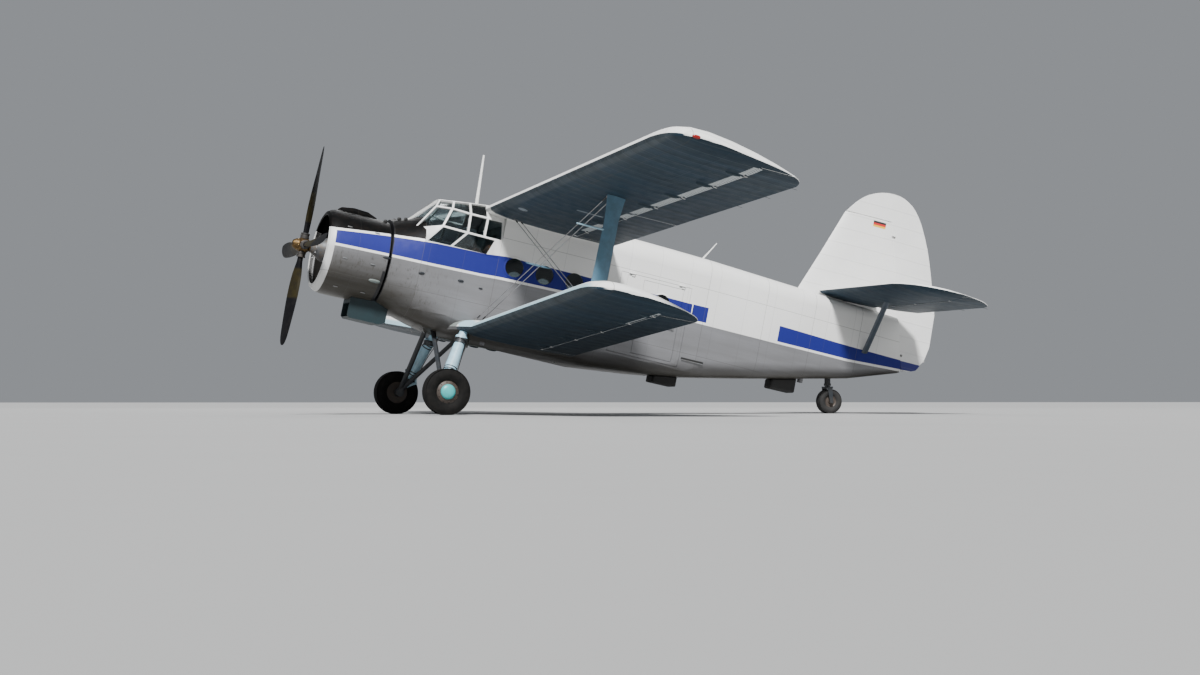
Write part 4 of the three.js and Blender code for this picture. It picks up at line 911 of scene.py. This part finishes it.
# Wing fittings: hinge fairings, fuel caps, lamps, wicks, turnbuckles and the spreader between the stays
top_skin, low_skin = 1, 2
wick_radius = 0.0025
hinges = (("upper", 4.4, (0.125, 0.02, 0.03), (1.56, 2.64, 3.36, 4.71, 5.83, 7.02, 8.1)),
          ("lower", 4.22, (0.105, 0.016, 0.024), (1.5, 2.7, 3.9, 5.1, 6.08)))
fuel_cap = [(0, 0.075), (0.006, 0.075), (0.009, 0.068), (0.009, 0.05), (0.013, 0.047), (0.016, 0.02)]
cap_s = 3.62
tip_height = wings["upper"]["base"] + 9.0 * math.tan(math.radians(wings["upper"]["tilt"])) - 0.015
stays = (((3.08, 0.985, -0.69), (3.76, 4.69, 1.372)), ((3.42, 1.02, 1.205), (3.7, 4.69, -0.455)))
for way, hand in hands:
    fairings = [rounded((s, way * y, on_wing(wing, s, y, low_skin)), half, 0.85, 10, 18)
                for wing, s, half, places in hinges for y in places]
    shape("hinge_fairings_" + hand, fairings, "shaded_underside_paint")
    caps = [turned((cap_s, way * y, on_wing("upper", cap_s, y, top_skin) - 0.004), upward, fuel_cap, 28)
            for y in (1.55, 2.3, 3.05)]
    shape("fuel_caps_" + hand, caps, "stay_steel")
    lamp = rounded((3.36, way * 9.045, tip_height), (0.075, 0.03, 0.028), 0.9, 12, 22)
    shape("nav_lamp_" + hand, [lamp], "lamp_red" if way > 0 else "lamp_green")
    wicks = []
    for y in (6.2, 7.2, 8.1):
        edge = on_wing("upper", 5.34, y, top_skin)
        path = straight((5.3, way * y, edge - 0.004), (5.46, way * y, edge - 0.012))
        wicks.append(rod(path, wick_radius, sides=6))
    shape("aileron_wicks_" + hand, wicks, "box_black", "aileron_" + hand)
    ends = []
    for inner, outer in stays:
        for shift in (0.0, 0.1):
            a = np.array(inner) * (1, way, 1) + (shift, 0, 0)
            b = np.array(outer) * (1, way, 1) + (shift, 0, 0)
            for first, last in ((0.012, 0.04), (0.96, 0.988)):
                path = a + (b - a) * np.linspace(first, last, 6)[:, None]
                ends.append(rod(path, 0.013, aft, 10, sizes=(0.55, 0.95, 1, 1, 0.95, 0.55)))
    shape("stay_turnbuckles_" + hand, ends, "dark_metal")
    path = straight((3.24, way * 2.7, 0.27), (3.7, way * 2.7, 0.27), 12)
    spreader = rod(path, 0.017, sides=10, sizes=(0.2, 0.6, 0.85, 1, 1, 1, 1, 1, 1, 0.85, 0.6, 0.2))
    shape("stay_spreader_" + hand, [spreader], "shaded_strut_blue")

# Pitot tubes on the struts
pitots = [rod(bent([(s, way * 4.76, 0.8) for s in (3.78, 3.62, 3.4, 3.3)], 14), 0.014, sides=10,
              sizes=np.linspace(1.2, 0.7, 14)) for way in (-1, 1)]
shape("pitot_tubes", pitots, "strut_paint")


# Wheels
def tyre_rows(radius, rim, width, groove):
    """Half section from bead over sidewall to tread, then mirrored: the bulge follows a quarter wave."""
    side = np.linspace(0, 1, 9)
    r = rim + (radius * 0.975 - rim) * side
    half = width / 2 * (0.66 + 0.34 * np.sin(np.pi * np.clip(side * 0.8 + 0.08, 0, 1)))
    half[-1] = width / 2 * 0.8
    tread = [(middle * width + across, radius - groove * deep) for middle in (-0.42, -0.16, 0.16, 0.42)
             for across, deep in ((-0.006, 0.1), (-0.004, 1), (0.004, 1), (0.006, 0.1))]
    tread.insert(len(tread) // 2, (0.0, radius))
    return [*zip(-half, r), *tread, *zip(half[::-1], r[::-1])]


def undercarriage(way, hand):
    """Tyre, hub cap and bolts on the wheel; rings, brake pipe and scissor links on the leg above it."""
    middle = np.array([wheel["s"], way * wheel["y"], wheel["z"]])
    axis = (0, way, 0)
    rows = tyre_rows(wheel["radius"], wheel["rim"], wheel["width"], 0.01)
    tyre = shape("tyre_" + hand, [hoop(middle, axis, rows, 72)], "tyre_rubber", "wheel_" + hand, 50)
    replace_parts(tyre, "main_tyre_" + hand)
    cap = [(0.098, 0.131), (0.116, 0.131), (0.132, 0.122), (0.15, 0.098), (0.161, 0.062), (0.165, 0.022),
           (0.166, 0.002)]
    shape("hub_cap_" + hand, [turned(middle, axis, cap, 40)], "hub_turquoise", "wheel_" + hand)
    bolts = [dome(middle + (0.168 * math.cos(a), way * 0.0985, 0.168 * math.sin(a)), axis, 0.011, 0.012)
             for a in around(10)]
    bolts.append(rod(loop_round(middle + (0, way * 0.078, 0), axis, 0.192, 48), 0.007, axis, closed=True))
    shape("wheel_bolts_" + hand, bolts, "wheel_dark", "wheel_" + hand)

    top = np.array([2.96, way * 0.88, -0.8])
    foot = np.array([wheel["s"], way * 1.44, wheel["z"]])
    leg = unit(foot - top)
    side = unit(np.cross(leg, aft))
    back = np.cross(side, leg)

    def on_leg(share, behind=0.0, aside=0.0):
        """A point at a share of the way down the leg, moved back from it and aside."""
        return top + (foot - top) * share + back * behind + side * aside

    rings = []
    for share, r in ((0.262, 0.098), (0.3, 0.0995), (0.66, 0.1195), (0.695, 0.1255), (0.775, 0.068)):
        band = [(-0.011, r - 0.01), (-0.009, r), (0.009, r), (0.011, r - 0.01)]
        rings.append(turned(on_leg(share), leg, band, 28))
    shape("leg_rings_" + hand, rings, "brace_dark")
    pipe = ((0.1, 0.086), (0.22, 0.126), (0.45, 0.117), (0.7, 0.134), (0.8, 0.112), (0.93, 0.085))
    shape("brake_pipe_" + hand, [rod(bent([on_leg(*place) for place in pipe], 30), 0.007, side)],
          "box_black")
    links = [carried([on_leg(*end, k * 0.03), on_leg(0.79, 0.18, k * 0.012)], bar(0.034, 0.014), side)
             for k in (-1, 1) for end in ((0.7, 0.1), (0.88, 0.06))]
    pin = [(-0.045, 0.012), (-0.043, 0.017), (0.043, 0.017), (0.045, 0.012)]
    links.append(turned(on_leg(0.79, 0.182), side, pin, 14))
    shape("scissor_links_" + hand, links, "strut_paint")


for way, hand in hands:
    undercarriage(way, hand)
tail_middle = (10.67, 0.0, -0.5725)
tail_hub = [(-0.085, 0.017), (-0.085, 0.045), (-0.066, 0.056), (-0.06, 0.095), (-0.072, 0.117),
            (0.072, 0.117), (0.06, 0.095), (0.066, 0.056), (0.085, 0.045), (0.085, 0.017)]
tyre = shape("tail_tyre", [hoop(tail_middle, port, tyre_rows(0.235, 0.118, 0.2, 0.006), 56)],
             "tail_wheel_rubber", "tail_wheel", 50)
hub = shape("tail_hub", [hoop(tail_middle, port, tail_hub, 40)], "wheel_dark", "tail_wheel")
for piece in (tyre, hub):
    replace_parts(piece, "tail_wheel")

# Tail lamp and elevator wicks
lamp = rounded((12.535, 0, 0.62), (0.035, 0.02, 0.026), 0.9, 10, 18)
shape("tail_lamp", [lamp], "lamp_clear", "rudder")
for way, hand in hands:
    wicks = [rod(straight((11.97, way * y, 1.47), (12.12, way * y, 1.465)), wick_radius, sides=6)
             for y in (2.0, 2.8)]
    shape("elevator_wicks_" + hand, wicks, "box_black", "elevator_" + hand)

# Cockpit: rows of dials in their bezels, and control columns with open wheels
bezel = [(-0.002, 0.048), (0.01, 0.048), (0.014, 0.044), (0.012, 0.038), (-0.002, 0.038)]
dial = [(-0.002, 0.0375), (0.005, 0.0375), (0.006, 0.03), (0.006, 0.002)]
dial_places = [(2.05, y, z) for z, reach in ((0.4, 0.59), (0.52, 0.48), (0.64, 0.48), (0.76, 0.3))
               for y in np.arange(-0.55, 0.56, 0.11) if abs(y) < reach]
shape("dial_bezels", [hoop(place, aft, bezel) for place in dial_places], "panel_black")
shape("dial_faces", [turned(place, aft, dial) for place in dial_places], "dial_face")
for way, hand in hands:
    y = way * seat_side
    path = bent([(2.5, y, -0.29), (2.5, y, 0.0), (2.46, y, 0.22), (2.42, y, 0.33)], 16)
    column = rod(path, 0.02, port, 12)
    boss = [(-0.03, 0.02), (-0.02, 0.035), (0.03, 0.035), (0.042, 0.02)]
    hub = turned((2.4, y, 0.345), (1, 0, 0.15), boss, 20)
    bow = np.linspace(math.radians(150), math.radians(390), 40)
    horn = np.stack([np.full(40, 2.43), y + 0.165 * np.cos(bow), 0.345 + 0.135 * np.sin(bow)], axis=-1)
    spoke = carried(straight((2.43, y - 0.145, 0.31), (2.43, y + 0.145, 0.31), 4), bar(0.02, 0.012), aft)
    shape("control_column_" + hand, [column, hub, rod(horn, 0.014, aft, 10), spoke], "panel_black")


# Padded seats
def plump(item, voxel=0.012, lift=0.012):
    """Swells a closed pad with cloth pressure, caps how far a point may move, then adds one subdivision."""
    remesh = item.modifiers.new("even_skin", "REMESH")
    remesh.mode = "VOXEL"
    remesh.voxel_size = voxel
    bpy.context.view_layer.objects.active = item
    with bpy.context.temp_override(object=item, active_object=item, selected_objects=[item]):
        bpy.ops.object.modifier_apply(modifier=remesh.name)
    before = np.empty(len(item.data.vertices) * 3)
    item.data.vertices.foreach_get("co", before)
    cloth = item.modifiers.new("stuffing", "CLOTH")
    cloth.settings.use_pressure = True
    cloth.settings.uniform_pressure_force = 4.0
    cloth.settings.effector_weights.gravity = 0.0
    cloth.settings.quality = 4
    for step in range(1, 17):
        bpy.context.scene.frame_set(step)
    shown = item.evaluated_get(bpy.context.evaluated_depsgraph_get())
    after = np.empty_like(before)
    shown.data.vertices.foreach_get("co", after)
    item.modifiers.remove(cloth)
    bpy.context.scene.frame_set(1)
    move = (after - before).reshape(-1, 3)
    far = np.maximum(np.linalg.norm(move, axis=1, keepdims=True), 1e-9)
    held = before.reshape(-1, 3) + move * np.minimum(1.0, lift / far)
    item.data.vertices.foreach_set("co", held.ravel())
    item.data.shade_smooth()
    item.modifiers.new("fine_skin", "SUBSURF").levels = render_levels - 1


def cushion(name, centre, half, axes, hand, power=0.42):
    """A crowned pad: a squared-off block, swelled, with piping round both edges on the same outline."""
    item = shape(name, [rounded(centre, half, power, 22, 40, axes)], "seat_leather", crease=80)
    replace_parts(item, "pilot_seat_" + hand)
    plump(item)
    first, second, third = (unit(a) for a in axes)
    edge = around(60)[:, None]
    outline = (np.array(centre) + first * squared_off(np.cos(edge), power) * half[0] * 0.955
               + second * squared_off(np.sin(edge), power) * half[1] * 0.955)
    for level, tag in ((0.58, "upper"), (-0.58, "lower")):
        piping = rod(outline + third * level * half[2], 0.0055, third, 6, closed=True)
        shape(f"{name}_{tag}_piping", [piping], "seat_leather")


lean = unit((0.095, 0, 0.74))
back_axes = (lean, port, np.cross(lean, port))
for way, hand in hands:
    y = way * seat_side
    cushion("seat_cushion_" + hand, (2.935, y, 0.112), (0.2, 0.205, 0.05), (aft, port, upward), hand)
    cushion("back_cushion_" + hand, (3.192, y, 0.455), (0.3, 0.19, 0.04), back_axes, hand)
    pan = [rounded((2.95, y, 0.047), (0.232, 0.228, 0.014), 0.3, 8, 28),
           rounded((3.245, y, 0.43), (0.015, 0.212, 0.375), 0.3, 10, 28, (np.cross(port, lean), port, lean))]
    for k in (-0.13, 0.13):
        for s in (2.79, 3.1):
            leg = straight((s, y + k, -0.298), (s + 0.01, y + k * 0.9, 0.045), 3)
            pan.append(rod(leg, 0.016, aft, 10))
        pan.append(carried(straight((2.74, y + k, -0.285), (3.16, y + k, -0.285), 3), bar(0.03, 0.02)))
    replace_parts(shape("seat_frame_" + hand, pan, "bench_grey"), "pilot_seat_" + hand)

# Cabin: side benches on legs and braces, and upright frames
for way, hand, last, ribs in ((1, "left", 5.5, (3.91, 4.49, 5.07)),
                              (-1, "right", 7.2, (3.91, 4.49, 5.07, 5.65, 6.25, 6.85))):
    bench = [carried(straight((3.55, way * 0.6, -0.3), (last, way * 0.6, -0.3), 8), bar(0.36, 0.035))]
    for s in np.arange(3.7, last, 0.55):
        for y, radius in ((0.5, 0.014), (0.74, 0.01)):
            leg = straight((s, way * 0.46, -0.715), (s, way * y, -0.31), 3)
            bench.append(rod(leg, radius, aft))
    shape("cabin_bench_" + hand, bench, "bench_grey")
    uprights = []
    for s in ribs:
        y = way * (hull_side(s) - 0.085)
        uprights.append(carried(straight((s, y, -0.7), (s, y, 1.05), 3), bar(0.03, 0.045), aft))
    shape("cabin_uprights_" + hand, uprights, "cabin_metal")

# Floor, light and camera
floor = bpy.data.objects.new("studio_floor", bpy.data.meshes.new("studio_floor"))
reach = 220.0
floor_corners = [(-reach, -reach, 0), (reach, -reach, 0), (reach, reach, 0), (-reach, reach, 0)]
floor.data.from_pydata(floor_corners, [], [(0, 1, 2, 3)])
bpy.context.collection.objects.link(floor)
floor.data.materials.append(finishes["studio_grey"])

world = bpy.data.worlds.new("studio")
world.use_nodes = True
world.node_tree.nodes["Background"].inputs["Color"].default_value = (0.83, 0.87, 0.93, 1.0)
world.node_tree.nodes["Background"].inputs["Strength"].default_value = 0.34
bpy.context.scene.world = world


def placed(name, data, place, aim):
    """A lamp or a camera at its place, turned towards what it aims at."""
    item = bpy.data.objects.new(name, data)
    bpy.context.collection.objects.link(item)
    item.location = place
    item.rotation_mode = "QUATERNION"
    item.rotation_quaternion = (Vector(aim) - Vector(place)).to_track_quat("-Z", "Y")
    return item


sun = bpy.data.lights.new("high_light", "SUN")
sun.energy = 7.6
sun.angle = math.radians(9)
placed("high_light", sun, (0, 0, 0), (-9, -22, -29))
for name, place, watts in (("fill_light", (-20, 26, 14), 1200), ("back_light", (-6, -26, 20), 2000)):
    light = bpy.data.lights.new(name, "AREA")
    light.shape = "DISK"
    light.size = 14
    light.energy = watts
    placed(name, light, place, (0, 0, 2))

lens = bpy.data.cameras.new("camera")
lens.sensor_width = 36
lens.lens = 60.3
lens.clip_end = 600
bpy.context.scene.camera = placed("camera", lens, (13.7, 34.9, 0.25), (0.55, 0.0, 1.42))
